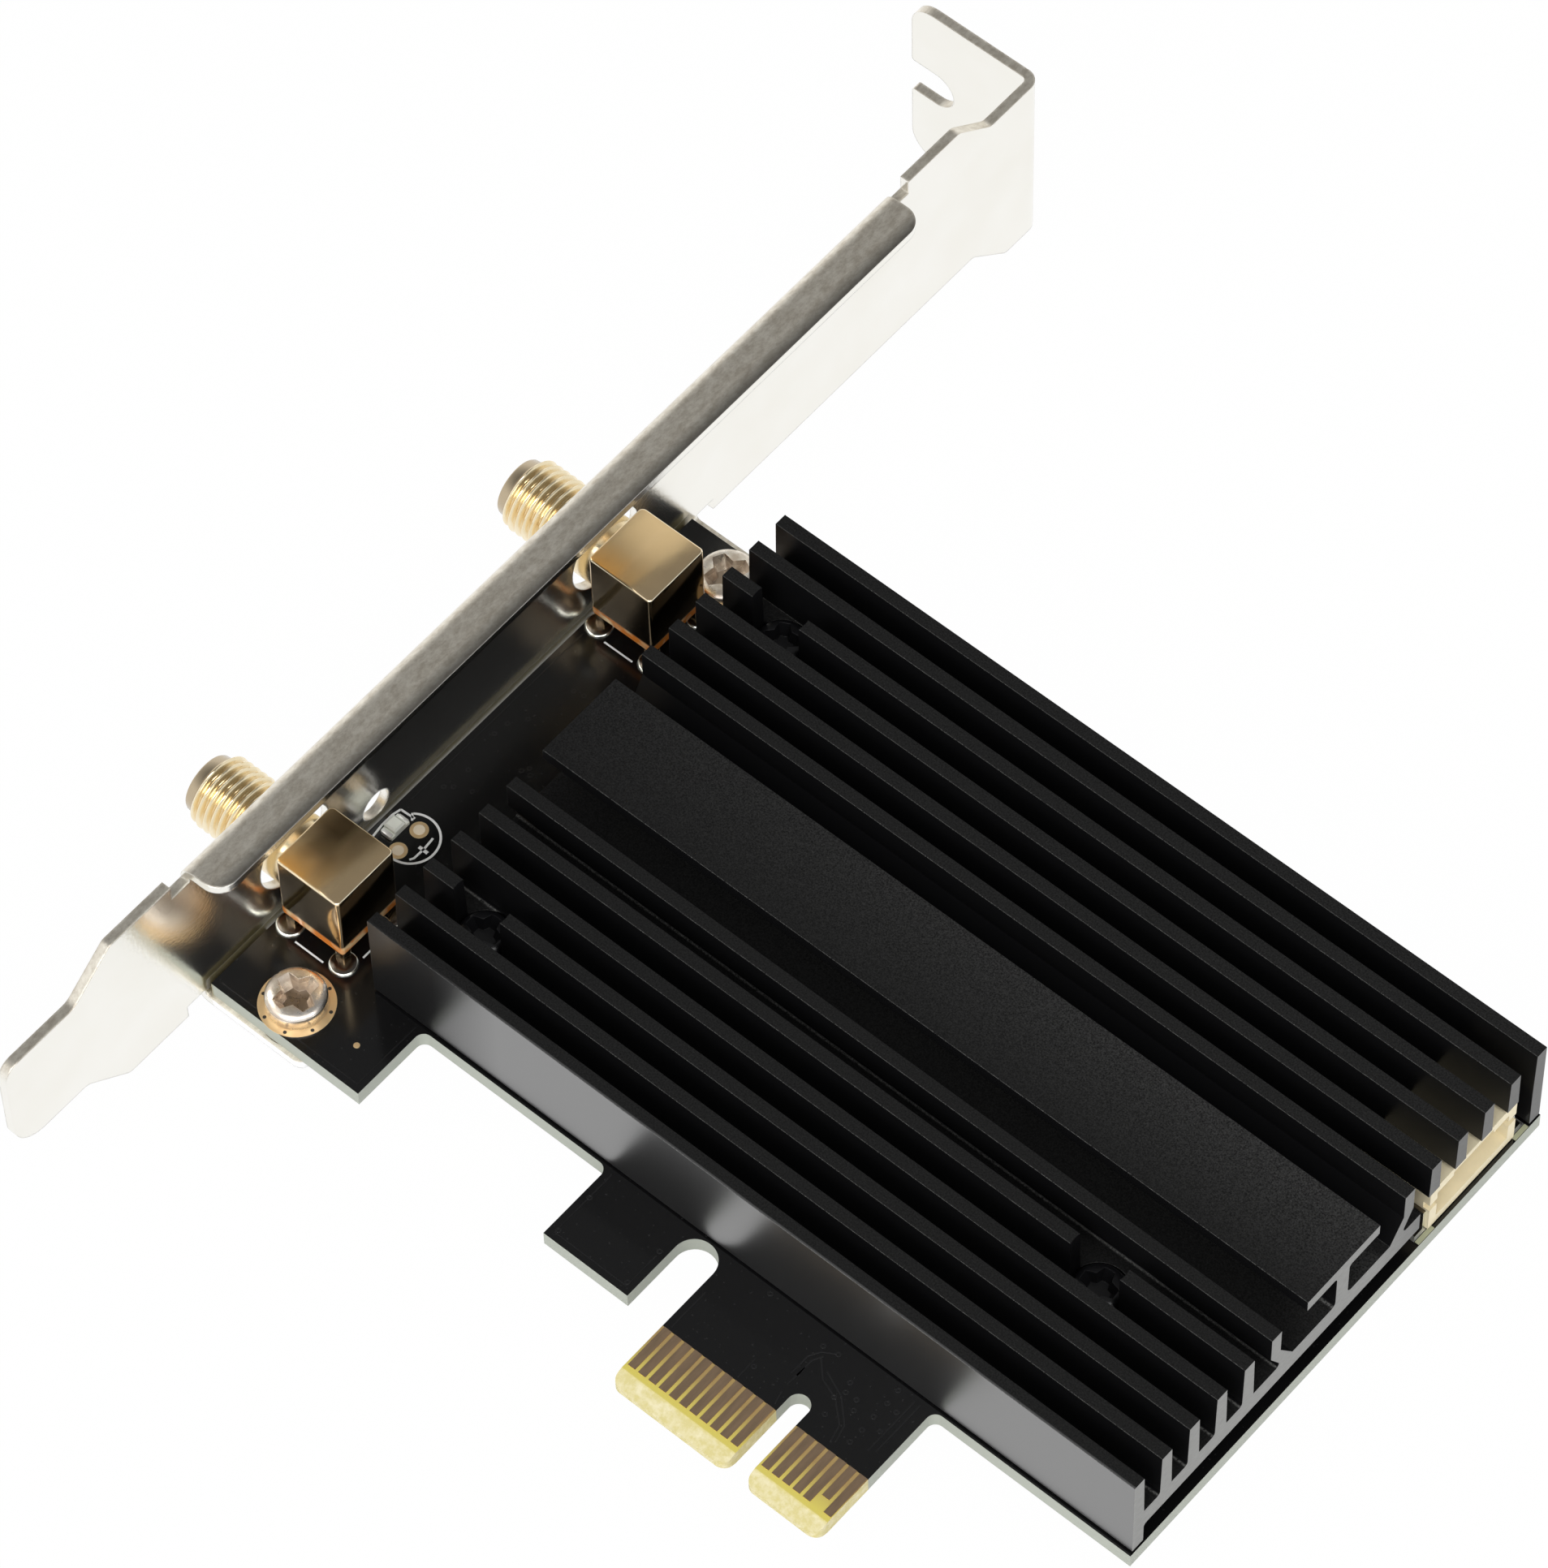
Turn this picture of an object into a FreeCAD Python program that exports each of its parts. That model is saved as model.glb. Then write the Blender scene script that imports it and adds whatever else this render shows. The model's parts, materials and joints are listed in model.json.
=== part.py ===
import FreeCAD, Part
import math
import os

# Wireless network card for a computer's short expansion slot, in millimetres.
# X runs along the slot, away from the bracket, from the middle of the key notch.
# Y runs up the board from its lower edge, and Z out of the board's component face.

# Circuit board
board_thickness = 1.57
board_left = -57.83
board_right = 26.59
board_height = 55.9
notch_depth = 7.3
corner_tab_length = 15.12
hook_left = -24.03
hook_right = -15.7
tongue_left = -12.05
tongue_right = 7.92
tongue_depth = 6.1
tongue_corner = 0.9
inner_corner = 0.8
key_width = 1.9
key_top = 2.15
bevel_length = 1.3
bevel_depth = 0.45

# Edge contacts
contact_pitch = 1.0
contact_width = 0.7
contact_start = 0.19
contact_end = 4.33
contact_thickness = 0.05
contact_from_key = 1.5
contacts_left = 11
contacts_right = 7
short_contact_cut = 1.0

# Bracket, one folded sheet
sheet = 0.86
bracket_gap = 0.45
strip_width = 18.42
flange_width = 19.05
flange_drop = 3.69
flange_reach = 11.95
flange_corner = 2.2
bracket_top = 99.4
bracket_below_board = 20.62
bend_radius = 0.4
shoulder_start = 10.2
shoulder_end = 6.3
heel_end = 4.3
throat = 8.4
slot_width = 3.8
slot_depth = 5.4
slot_height = 3.7
tongue_width = 11.24
tongue_offset = 3.71
tongue_straight = 7.6
tongue_slant = 4.25
tongue_upper_corner = 1.5
tongue_lower_corner = 3.0
slant_head_corner = 0.8
slant_foot_corner = 1.5
shoulder_corner = 1.0
lip_start = -0.3
lip_below_top = 18.3
lip_reach = 4.15
lip_corner = 1.8
lip_relief = 1.9
relief_depth = 1.5
ear_below_screw = 3.3
ear_above_screw = 4.0
ear_past_screw = 3.4
ear_corner = 1.0
lamp_hole = 2.9

# Bracket screws
screw_inset = 6.2
screw_low = 2.95
screw_below_edge = 2.9
screw_size = 3.0
screw_head = 4.9
screw_head_height = 1.9
screw_beyond_ear = 0.6
thread_clearance = 0.05
screw_hole_clearance = 0.1
head_rim = 0.5
head_slope = 0.3
recess_depth = 0.6
recess_width = 0.6
recess_wing = 0.3

# Antenna jacks
jack_low = 10.6
jack_below_edge = 9.5
jack_size = 6.3
jack_inset = 0.7
jack_lift = 2.0
jack_height = 7.4
jack_edge = 0.4
jack_axis = 6.2
jack_thread = 6.35
jack_root = 5.9
jack_thread_start = 0.4
jack_nose = 4.9
jack_nose_length = 1.0
jack_reach = 9.6
jack_hole = 7.7
leg_spacing = 5.08
leg_width = 0.9
leg_below_board = 0.8
leg_hole_clearance = 0.1
jack_bore = 4.1
jack_drop_bore = 2.6
insulator_recess = 2.6
contact_pin = 0.92
contact_leg = 0.8
contact_overrun = 0.2
pin_recess = 0.6
core_clearance = 0.02

# Status lamp
lamp_inset = 1.4
lamp_place = 19.4
lamp_length = 2.0
lamp_width = 1.2
lamp_base = 0.35
lamp_lens_length = 1.2
lamp_lens_height = 0.45
spare_hole = 0.8
spare_hole_inset = 2.9
spare_hole_spacing = 2.4

# Heat sink, one extrusion milled for its screws and for the header
sink_inset = 9.95
sink_overhang = 0.07
sink_past_notch = 0.28
sink_below_edge = 0.1
wall_gap = 0.3
wall_foot_thickness = 1.25
base_underside = 2.7
base_thickness = 2.15
fin_top = 10.0
fin_pitch = 3.15
fin_tip = 1.12
fin_draft = 0.1
fins_each_side = 6
fin_root_radius = 0.4
knee_height = 7.2
knee_lean = 1.4
plate_width = 8.45
plate_thickness = 1.2
plate_top = 10.1
stem_width = 1.45
stem_radius = 0.5
pocket_radius = 2.4
pocket_counterbore = 0.4

# Heat sink screws and the spacers under them
sink_screw_size = 2.0
sink_screw_head = 4.1
sink_screw_head_height = 1.45
sink_screw_hole = 2.4
sink_screw_engagement = 2.2
sink_screw_from_end = 5.4
sink_screw_from_far_end = 14.05
end_screws_fin = 2
far_screw_fin = 4
spacer_flats = 4.0

# Header for the computer's own data lead
header_below_edge = 8.1
header_width = 10.4
header_depth = 6.6
header_height = 5.3
header_lift = 0.2
header_set_back = 0.32
header_side = 0.9
header_roof = 1.0
header_floor = 0.9
header_back = 2.4
header_key_width = 4.8
header_key_height = 0.45
header_side_slot = 0.8
header_side_slot_depth = 0.6
header_pins_count = 4
header_pitch = 2.0
header_pin_size = 0.5
header_pin_short = 1.2
header_pin_height = 2.7
header_lead = 1.6
tab_sheet = 0.3
tab_foot = 1.2
tab_length = 2.4
tab_height = 2.6
header_clearance = 0.5
header_rear_clearance = 1.0
header_side_clearance = 1.55

# Radio module, soldered flat under the heat sink
module_x = -14.0
module_length = 16.0
module_width = 12.0
module_board = 0.8
shield_height = 1.2
shield_sheet = 0.15
shield_margin = 0.5
chip_size = 7.0
chip_height = 0.7
pad_margin = 1.5

# Small supply parts under the heat sink, each as X and Y from the module's middle, length, width and height
supply_parts = [(18.0, 1.5, 2.0, 1.25, 0.9), (18.0, 3.9, 2.0, 1.25, 0.9), (23.0, 2.1, 3.2, 1.6, 1.4)]
resistor_parts = [(-26.0, -9.5, 1.0, 0.5, 0.35), (-26.0, -8.0, 1.0, 0.5, 0.35), (-24.0, -8.8, 1.0, 0.5, 0.35)]

# Places that follow from the sizes above
board_mid = -board_thickness / 2
slot_radius = (tongue_left - hook_right) / 2
bracket_inner = board_left - bracket_gap
bracket_outer = bracket_inner - sheet
strip_low = -board_thickness - sheet
strip_high = strip_low + strip_width
flange_low = strip_low - flange_drop
flange_high = flange_low + flange_width
flange_edge = bracket_outer - flange_reach
bracket_tip = -bracket_below_board
lip_end = bracket_top - lip_below_top
bend_outer = bend_radius + sheet
strip_cut_high = strip_high - relief_depth
strip_cut_low = strip_low + bend_outer + 0.07
screw_x = board_left + screw_inset
screw_high = board_height - screw_below_edge
jack_x = board_left + jack_inset + jack_size / 2
jack_high = board_height - jack_below_edge
jack_end = board_left - jack_reach
core_end = jack_x + jack_drop_bore / 2
lamp_x = board_left + lamp_inset
sink_left = board_left + sink_inset
sink_right = board_right - sink_overhang
sink_low = notch_depth + sink_past_notch
sink_high = board_height - sink_below_edge
sink_middle = (sink_low + sink_high) / 2
module_y = sink_middle
base_top = base_underside + base_thickness
header_place = board_height - header_below_edge
header_front = board_right - header_set_back
header_rear = header_front - header_depth
header_low_side = header_place - header_width / 2
header_high_side = header_place + header_width / 2
header_top = header_lift + header_height
shield_top = module_board + shield_height


def box(x_low, x_high, y_low, y_high, z_low, z_high):
    corner = FreeCAD.Vector(x_low, y_low, z_low)
    return Part.makeBox(x_high - x_low, y_high - y_low, z_high - z_low, corner)


def rod(radius, x, y, z_low, z_high):
    return Part.makeCylinder(radius, z_high - z_low, FreeCAD.Vector(x, y, z_low))


def rod_along_x(radius, y, z, x_low, x_high):
    start = FreeCAD.Vector(x_low, y, z)
    return Part.makeCylinder(radius, x_high - x_low, start, FreeCAD.Vector(1, 0, 0))


def on_level(z):
    return lambda flat: FreeCAD.Vector(flat.x, flat.y, z)


def across_x(x):
    return lambda flat: FreeCAD.Vector(x, flat.x, flat.y)


def across_y(y):
    return lambda flat: FreeCAD.Vector(flat.x, y, flat.y)


def outline(corners, lay):
    """A closed wire through corners (u, v, radius), each rounded to its radius and laid in space by lay."""
    stops = []
    for index, (u, v, radius) in enumerate(corners):
        here = FreeCAD.Vector(u, v, 0)
        before = corners[index - 1]
        after = corners[(index + 1) % len(corners)]
        back = (FreeCAD.Vector(before[0], before[1], 0) - here).normalize()
        ahead = (FreeCAD.Vector(after[0], after[1], 0) - here).normalize()
        half_angle = back.getAngle(ahead) / 2
        reach = radius / math.tan(half_angle)
        bulge = radius / math.sin(half_angle) - radius
        middle = here + (back + ahead).normalize() * bulge
        stops.append((here + back * reach, middle, here + ahead * reach, radius))
    edges = []
    for index, (start, middle, end, radius) in enumerate(stops):
        if radius > 0:
            edges.append(Part.Arc(lay(start), lay(middle), lay(end)).toShape())
        following = stops[(index + 1) % len(stops)][0]
        if (following - end).Length > 1e-6:
            edges.append(Part.makeLine(lay(end), lay(following)))
    return Part.Wire(edges)


def plate(corners, z_low, z_high):
    return Part.Face(outline(corners, on_level(z_low))).extrude(FreeCAD.Vector(0, 0, z_high - z_low))


def slab_x(corners, x_low, x_high):
    return Part.Face(outline(corners, across_x(x_low))).extrude(FreeCAD.Vector(x_high - x_low, 0, 0))


def slab_y(corners, y_low, y_high):
    return Part.Face(outline(corners, across_y(y_low))).extrude(FreeCAD.Vector(0, y_high - y_low, 0))


def joined(shapes):
    return shapes[0].multiFuse(shapes[1:]).removeSplitter()


def group(shapes):
    return Part.makeCompound(shapes)


def leg_places(jack_y):
    half = leg_spacing / 2
    return [(jack_x + dx, jack_y + dy) for dx in (-half, half) for dy in (-half, half)]


def circuit_board():
    corners = [
        (board_left, 0, 0),
        (board_left + corner_tab_length, 0, 0),
        (board_left + corner_tab_length, notch_depth, inner_corner),
        (hook_left, notch_depth, inner_corner),
        (hook_left, 0, 0),
        (hook_right, 0, 0),
        (hook_right, notch_depth, slot_radius),
        (tongue_left, notch_depth, slot_radius),
        (tongue_left, -tongue_depth, tongue_corner),
        (-key_width / 2, -tongue_depth, tongue_corner),
        (-key_width / 2, key_top, key_width / 2),
        (key_width / 2, key_top, key_width / 2),
        (key_width / 2, -tongue_depth, tongue_corner),
        (tongue_right, -tongue_depth, tongue_corner),
        (tongue_right, notch_depth, inner_corner),
        (board_right, notch_depth, 0),
        (board_right, board_height, 0),
        (board_left, board_height, 0),
    ]
    board = plate(corners, -board_thickness, 0)
    holes = []
    for y in (screw_low, screw_high):
        holes.append((screw_x, y, screw_size / 2 + screw_hole_clearance))
    for jack_y in (jack_low, jack_high):
        holes.append((jack_x, jack_y, contact_leg / math.sqrt(2) + leg_hole_clearance))
        for x, y in leg_places(jack_y):
            holes.append((x, y, leg_width / math.sqrt(2) + leg_hole_clearance))
    for side in (-0.5, 0.5):
        holes.append((board_left + spare_hole_inset, lamp_place + side * spare_hole_spacing, spare_hole / 2))
    drills = [rod(radius, x, y, -board_thickness - 1, 1) for x, y, radius in holes]
    return board.cut(drills + [edge_bevel(face) for face in (0, -board_thickness)])


def edge_bevel(face):
    """Wedge that thins the tongue's leading edge from one face of the board."""
    inward = bevel_depth if face < board_mid else -bevel_depth
    slope = inward / bevel_length
    corners = [
        (-tongue_depth + bevel_length, face, 0),
        (-tongue_depth - 1, face + slope * (bevel_length + 1), 0),
        (-tongue_depth - 1, face - inward, 0),
        (-tongue_depth + bevel_length, face - inward, 0),
    ]
    return slab_x(corners, tongue_left - 1, tongue_right + 1)


def contact_places():
    left = [-contact_from_key - contact_pitch * step for step in range(contacts_left)]
    right = [contact_from_key + contact_pitch * step for step in range(contacts_right)]
    return sorted(left + right)


def edge_contacts(face_low, short_index):
    strips = []
    for index, x in enumerate(contact_places()):
        end = contact_end - short_contact_cut if index == short_index else contact_end
        half = contact_width / 2
        strips.append(box(x - half, x + half, -end, -contact_start, face_low, face_low + contact_thickness))
    return group(strips)


def bracket_fold():
    """The strip and its flange, folded but not yet trimmed, with the strip running down past the tip."""
    corners = [
        (bracket_inner, bracket_tip - 1, 0),
        (bracket_inner, bracket_top, bend_outer),
        (flange_edge - 1, bracket_top, 0),
        (flange_edge - 1, bracket_top - sheet, 0),
        (bracket_outer, bracket_top - sheet, bend_radius),
        (bracket_outer, bracket_tip - 1, 0),
    ]
    return plate(corners, flange_low - 1, strip_high + 1)


def strip_outline():
    """The strip seen along the slot, as (Y, Z, radius), from the tongue's tip round by the top."""
    tongue_low = strip_low + tongue_offset
    tongue_high = tongue_low + tongue_width
    slant_foot = bracket_tip + tongue_straight
    slant_head = slant_foot + tongue_slant
    shoulder_high = bracket_top - shoulder_start
    shoulder_low = bracket_top - shoulder_end
    ear_low = screw_low - ear_below_screw - lip_relief
    ear_high = screw_low + ear_above_screw + lip_relief
    far_ear_low = screw_high - ear_below_screw - lip_relief
    far_ear_high = screw_high + ear_above_screw + lip_relief
    beyond = bracket_top + 1
    return [
        (bracket_tip, tongue_low, tongue_lower_corner),
        (bracket_tip, tongue_high, tongue_upper_corner),
        (slant_foot, tongue_high, slant_foot_corner),
        (slant_head, strip_high, slant_head_corner),
        (lip_start - lip_relief, strip_high, 0),
        (lip_start - lip_relief, strip_cut_high, 0),
        (lip_end + lip_relief, strip_cut_high, 0),
        (lip_end + lip_relief, strip_high, 0),
        (shoulder_high, strip_high, shoulder_corner),
        (shoulder_low, flange_high, shoulder_corner),
        (beyond, flange_high, 0),
        (beyond, flange_low, 0),
        (bracket_top - heel_end, flange_low, shoulder_corner),
        (bracket_top - throat, strip_low, shoulder_corner),
        (far_ear_high, strip_low, 0),
        (far_ear_high, strip_cut_low, 0),
        (far_ear_low, strip_cut_low, 0),
        (far_ear_low, strip_low, 0),
        (ear_high, strip_low, 0),
        (ear_high, strip_cut_low, 0),
        (ear_low, strip_cut_low, 0),
        (ear_low, strip_low, 0),
        (slant_head, strip_low, slant_head_corner),
        (slant_foot, tongue_low, slant_foot_corner),
    ]


def flange_outline():
    """The screw flange and its open slot seen along Y, as (X, Z, radius), and the strip's whole height."""
    slot_low = slot_height - slot_width / 2
    slot_high = slot_height + slot_width / 2
    slot_end = flange_edge + slot_depth - 1.0
    beside = bracket_outer - bend_radius
    return [
        (flange_edge, slot_high, 0.3),
        (flange_edge, flange_high, flange_corner),
        (beside, flange_high, 0),
        (beside, strip_high + 2, 0),
        (bracket_inner + 2, strip_high + 2, 0),
        (bracket_inner + 2, flange_low - 2, 0),
        (beside, flange_low - 2, 0),
        (beside, flange_low, 0),
        (flange_edge, flange_low, flange_corner + 0.5),
        (flange_edge, slot_low, 0.3),
        (slot_end, slot_low, slot_width / 2),
        (slot_end, slot_high, slot_width / 2),
    ]


def bracket_lip():
    """Stiffening lip folded over the board side along the strip's upper edge."""
    free_edge = bracket_outer + lip_reach
    corners = [
        (bracket_outer, strip_cut_high - 0.5, 0),
        (bracket_outer, strip_high, bend_outer),
        (free_edge, strip_high, 0),
        (free_edge, strip_high - sheet, 0),
        (bracket_inner, strip_high - sheet, bend_radius),
        (bracket_inner, strip_cut_high - 0.5, 0),
    ]
    fold = slab_y(corners, lip_start, lip_end)
    ends = [
        (bracket_outer - 1, lip_start, 0),
        (free_edge, lip_start, lip_corner),
        (free_edge, lip_end, lip_corner),
        (bracket_outer - 1, lip_end, 0),
    ]
    return fold.common(plate(ends, strip_low, strip_high + 1))


def bracket_ear(screw_y):
    """Ear folded under the board, which the bracket screw is tapped into."""
    ear_end = screw_x + ear_past_screw
    corners = [
        (bracket_outer, strip_cut_low + 0.5, 0),
        (bracket_outer, strip_low, bend_outer),
        (ear_end, strip_low, 0),
        (ear_end, strip_low + sheet, 0),
        (bracket_inner, strip_low + sheet, bend_radius),
        (bracket_inner, strip_cut_low + 0.5, 0),
    ]
    low = screw_y - ear_below_screw
    high = screw_y + ear_above_screw
    fold = slab_y(corners, low, high)
    ends = [
        (bracket_outer - 1, low, 0),
        (ear_end, low, ear_corner),
        (ear_end, high, ear_corner),
        (bracket_outer - 1, high, 0),
    ]
    tapped = rod(screw_size / 2 + thread_clearance, screw_x, screw_y, strip_low - 1, 1)
    return fold.common(plate(ends, strip_low - 1, strip_high)).cut(tapped)


def bracket():
    fold = bracket_fold()
    fold = fold.common(slab_x(strip_outline(), flange_edge - 2, bracket_inner + 2))
    fold = fold.common(slab_y(flange_outline(), bracket_tip - 2, bracket_top + 2))
    holes = [
        (jack_low, jack_axis, jack_hole / 2),
        (jack_high, jack_axis, jack_hole / 2),
        (lamp_place, lamp_base + lamp_lens_height + lamp_hole / 4, lamp_hole / 2),
    ]
    drills = [rod_along_x(radius, y, z, bracket_outer - 1, bracket_inner + 1) for y, z, radius in holes]
    folds = [fold, bracket_lip(), bracket_ear(screw_low), bracket_ear(screw_high)]
    return joined(folds).cut(drills)


def cross_recess(x, y, floor, top, width):
    """Cross for a screwdriver, to be cut from a screw's head."""
    long_half = width / 2
    thin_half = width * recess_wing / 2
    return joined([
        box(x - long_half, x + long_half, y - thin_half, y + thin_half, floor, top),
        box(x - thin_half, x + thin_half, y - long_half, y + long_half, floor, top),
    ])


def pan_screw(x, y, seat, head_size, head_height, shank_size, shank_length):
    """Pan-head screw whose head sits on Z = seat and whose shank points down."""
    radius = head_size / 2
    crown = radius * (1 - head_slope)
    rim = seat + head_height * head_rim
    top = seat + head_height
    head = rod(radius, x, y, seat, rim)
    slope = Part.makeCone(radius, crown, top - rim, FreeCAD.Vector(x, y, rim))
    shank = rod(shank_size / 2, x, y, seat - shank_length, seat)
    floor = top - head_height * recess_depth
    return joined([head, slope, shank]).cut(cross_recess(x, y, floor, top + 1, head_size * recess_width))


def bracket_screws():
    length = board_thickness + sheet + screw_beyond_ear
    return group([
        pan_screw(screw_x, y, 0, screw_head, screw_head_height, screw_size, length)
        for y in (screw_low, screw_high)
    ])


def jack_body(jack_y):
    """Gold cube on four legs with its threaded barrel, bored along the barrel and down to the board."""
    half = jack_size / 2
    half_leg = leg_width / 2
    foot = -board_thickness - leg_below_board
    nose_end = jack_end + jack_nose_length
    thread_end = bracket_outer - jack_thread_start
    cube = box(jack_x - half, jack_x + half, jack_y - half, jack_y + half, jack_lift, jack_lift + jack_height)
    parts = [
        cube.makeChamfer(jack_edge, cube.Edges),
        rod_along_x(jack_nose / 2, jack_y, jack_axis, jack_end, nose_end),
        rod_along_x(jack_thread / 2, jack_y, jack_axis, nose_end, thread_end),
        rod_along_x(jack_root / 2, jack_y, jack_axis, thread_end, jack_x - half + jack_edge),
    ]
    for x, y in leg_places(jack_y):
        parts.append(box(x - half_leg, x + half_leg, y - half_leg, y + half_leg, foot, jack_lift + jack_edge))
    bores = [
        rod_along_x(jack_bore / 2, jack_y, jack_axis, jack_end - 1, core_end),
        rod(jack_drop_bore / 2, jack_x, jack_y, jack_lift - 1, jack_axis),
    ]
    return joined(parts).cut(bores)


def jack_insulator(jack_y):
    """Sleeve round the contact, open below where the contact's leg leaves it."""
    radius = jack_bore / 2 - core_clearance
    sleeve = rod_along_x(radius, jack_y, jack_axis, jack_end + insulator_recess, core_end)
    return sleeve.cut(jack_contact_solid(jack_y, core_clearance))


def jack_contact_solid(jack_y, margin):
    """Round contact along the barrel and its square leg through the board, grown all round by a margin."""
    radius = contact_pin / 2 + margin
    half = contact_leg / 2 + margin
    far_end = jack_x + half + contact_overrun
    along = rod_along_x(radius, jack_y, jack_axis, jack_end + pin_recess, far_end)
    leg = box(jack_x - half, jack_x + half, jack_y - half, jack_y + half,
              -board_thickness - leg_below_board, jack_axis)
    return joined([along, leg])


def jack_contact(jack_y):
    return jack_contact_solid(jack_y, 0)


def status_lamp():
    half_width = lamp_width / 2
    half_length = lamp_length / 2
    half_lens = lamp_lens_length / 2
    base = box(lamp_x - half_width, lamp_x + half_width,
               lamp_place - half_length, lamp_place + half_length, 0, lamp_base)
    lens = box(lamp_x - half_width, lamp_x + half_width,
               lamp_place - half_lens, lamp_place + half_lens, lamp_base, lamp_base + lamp_lens_height)
    upper = [edge for edge in lens.Edges if edge.BoundBox.ZMin > lamp_base + lamp_lens_height / 2]
    return joined([base, lens.makeChamfer(lamp_lens_height / 3, upper)])


def sink_half():
    """Half of the heat sink's section, as (Y, Z, radius), from the wall's foot to the middle plate's edge."""
    corners = [(sink_low, wall_gap, 0)]
    for index in range(fins_each_side):
        left = sink_low + index * fin_pitch
        right = left + fin_tip
        innermost = index == fins_each_side - 1
        lean = knee_lean if innermost else 0
        if index > 0:
            corners.append((left - fin_draft + lean, base_top, fin_root_radius))
        if innermost:
            corners.append((left, knee_height, 0))
        corners.append((left, fin_top, 0))
        corners.append((right, fin_top, 0))
        if innermost:
            corners.append((right, knee_height, 0))
        corners.append((right + fin_draft + lean, base_top, 0))
    plate_underside = plate_top - plate_thickness
    corners.append((sink_middle - stem_width / 2, base_top, stem_radius))
    corners.append((sink_middle - stem_width / 2, plate_underside, fin_root_radius))
    corners.append((sink_middle - plate_width / 2, plate_underside, 0))
    corners.append((sink_middle - plate_width / 2, plate_top, 0))
    return corners


def sink_screw_places():
    """Two screws near the bracket in matching fins, and one near the far end."""
    fin_middle = sink_low + fin_tip / 2
    x = sink_left + sink_screw_from_end
    near_y = fin_middle + end_screws_fin * fin_pitch
    third_x = sink_right - sink_screw_from_far_end
    return [(x, near_y), (x, 2 * sink_middle - near_y), (third_x, fin_middle + far_screw_fin * fin_pitch)]


def heat_sink():
    near = sink_half()
    far = [(2 * sink_middle - y, z, radius) for y, z, radius in reversed(near)]
    underside = [
        (sink_high - wall_foot_thickness, wall_gap, 0),
        (sink_high - wall_foot_thickness, base_underside, fin_root_radius),
        (sink_low + wall_foot_thickness, base_underside, fin_root_radius),
        (sink_low + wall_foot_thickness, wall_gap, 0),
    ]
    sink = slab_x(near + far + underside, sink_left, sink_right)
    cuts = []
    for x, y in sink_screw_places():
        cuts.append(rod(pocket_radius, x, y, base_top - pocket_counterbore, plate_top + 1))
        cuts.append(rod(sink_screw_hole / 2, x, y, base_underside - 1, base_top))
    cuts.append(header_window())
    return sink.cut(cuts)


def header_window():
    """What is milled away above the header, up to the last side wall, which stays whole."""
    wall_inside = sink_high - fin_tip - fin_draft
    return box(header_rear - header_rear_clearance, sink_right + 1,
               header_low_side - header_side_clearance, wall_inside,
               wall_gap - 1, header_top + header_clearance)


def heat_sink_screws():
    seat = base_top - pocket_counterbore
    length = seat - base_underside + sink_screw_engagement
    return group([
        pan_screw(x, y, seat, sink_screw_head, sink_screw_head_height, sink_screw_size, length)
        for x, y in sink_screw_places()
    ])


def spacer(x, y):
    """Six-sided threaded spacer between board and heat sink."""
    across_corners = spacer_flats / math.sqrt(3)
    turns = [math.radians(60 * step) for step in range(6)]
    corners = [(x + across_corners * math.cos(turn), y + across_corners * math.sin(turn), 0)
               for turn in turns]
    bore = rod(sink_screw_size / 2 + thread_clearance, x, y, -1, base_underside + 1)
    return plate(corners, 0, base_underside).cut(bore)


def spacers():
    return group([spacer(x, y) for x, y in sink_screw_places()])


def header_housing():
    shell = box(header_rear, header_front, header_low_side, header_high_side, header_lift, header_top)
    cavity = box(header_rear + header_back, header_front + 1,
                 header_low_side + header_side, header_high_side - header_side,
                 header_lift + header_floor, header_top - header_roof)
    key_groove = box(header_rear + header_back, header_front + 1,
                     header_place - header_key_width / 2, header_place + header_key_width / 2,
                     header_top - header_roof - 1, header_top - header_roof + header_key_height)
    cuts = [cavity, key_groove]
    slot_low = header_lift + header_height / 2
    for side in (header_low_side, header_high_side):
        cuts.append(box(header_front - header_side_slot_depth, header_front + 1,
                        side - header_side - 0.1, side + header_side + 0.1,
                        slot_low, slot_low + header_side_slot))
    for y in header_pin_places():
        cuts.append(pin_box(y, header_rear - 1, header_front, header_pin_size + 2 * core_clearance))
    return shell.cut(cuts)


def header_pin_places():
    first = header_place - header_pitch * (header_pins_count - 1) / 2
    return [first + header_pitch * step for step in range(header_pins_count)]


def pin_box(y, x_low, x_high, size):
    half = size / 2
    return box(x_low, x_high, y - half, y + half, header_pin_height - half, header_pin_height + half)


def header_pin(y):
    half = header_pin_size / 2
    level = pin_box(y, header_rear - header_pin_size, header_front - header_pin_short, header_pin_size)
    drop = box(header_rear - header_pin_size, header_rear, y - half, y + half, 0, header_pin_height + half)
    foot = box(header_rear - header_lead, header_rear, y - half, y + half, 0, header_pin_size)
    return joined([level, drop, foot])


def header_pins():
    return group([header_pin(y) for y in header_pin_places()])


def header_tabs():
    """Soldered side tabs that hold the header down, standing on the board against its sides."""
    tabs = []
    for side, outward in ((header_low_side, -1), (header_high_side, 1)):
        upright = sorted((side, side + outward * tab_sheet))
        foot = sorted((side, side + outward * tab_foot))
        front = header_front - 0.3
        tabs.append(joined([
            box(front - tab_length, front, upright[0], upright[1], 0, tab_height),
            box(front - tab_length, front, foot[0], foot[1], 0, tab_sheet),
        ]))
    return group(tabs)


def radio_module():
    half_x = module_length / 2
    half_y = module_width / 2
    return box(module_x - half_x, module_x + half_x, module_y - half_y, module_y + half_y, 0, module_board)


def radio_chip():
    half = chip_size / 2
    return box(module_x - half, module_x + half, module_y - half, module_y + half,
               module_board, module_board + chip_height)


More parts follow.
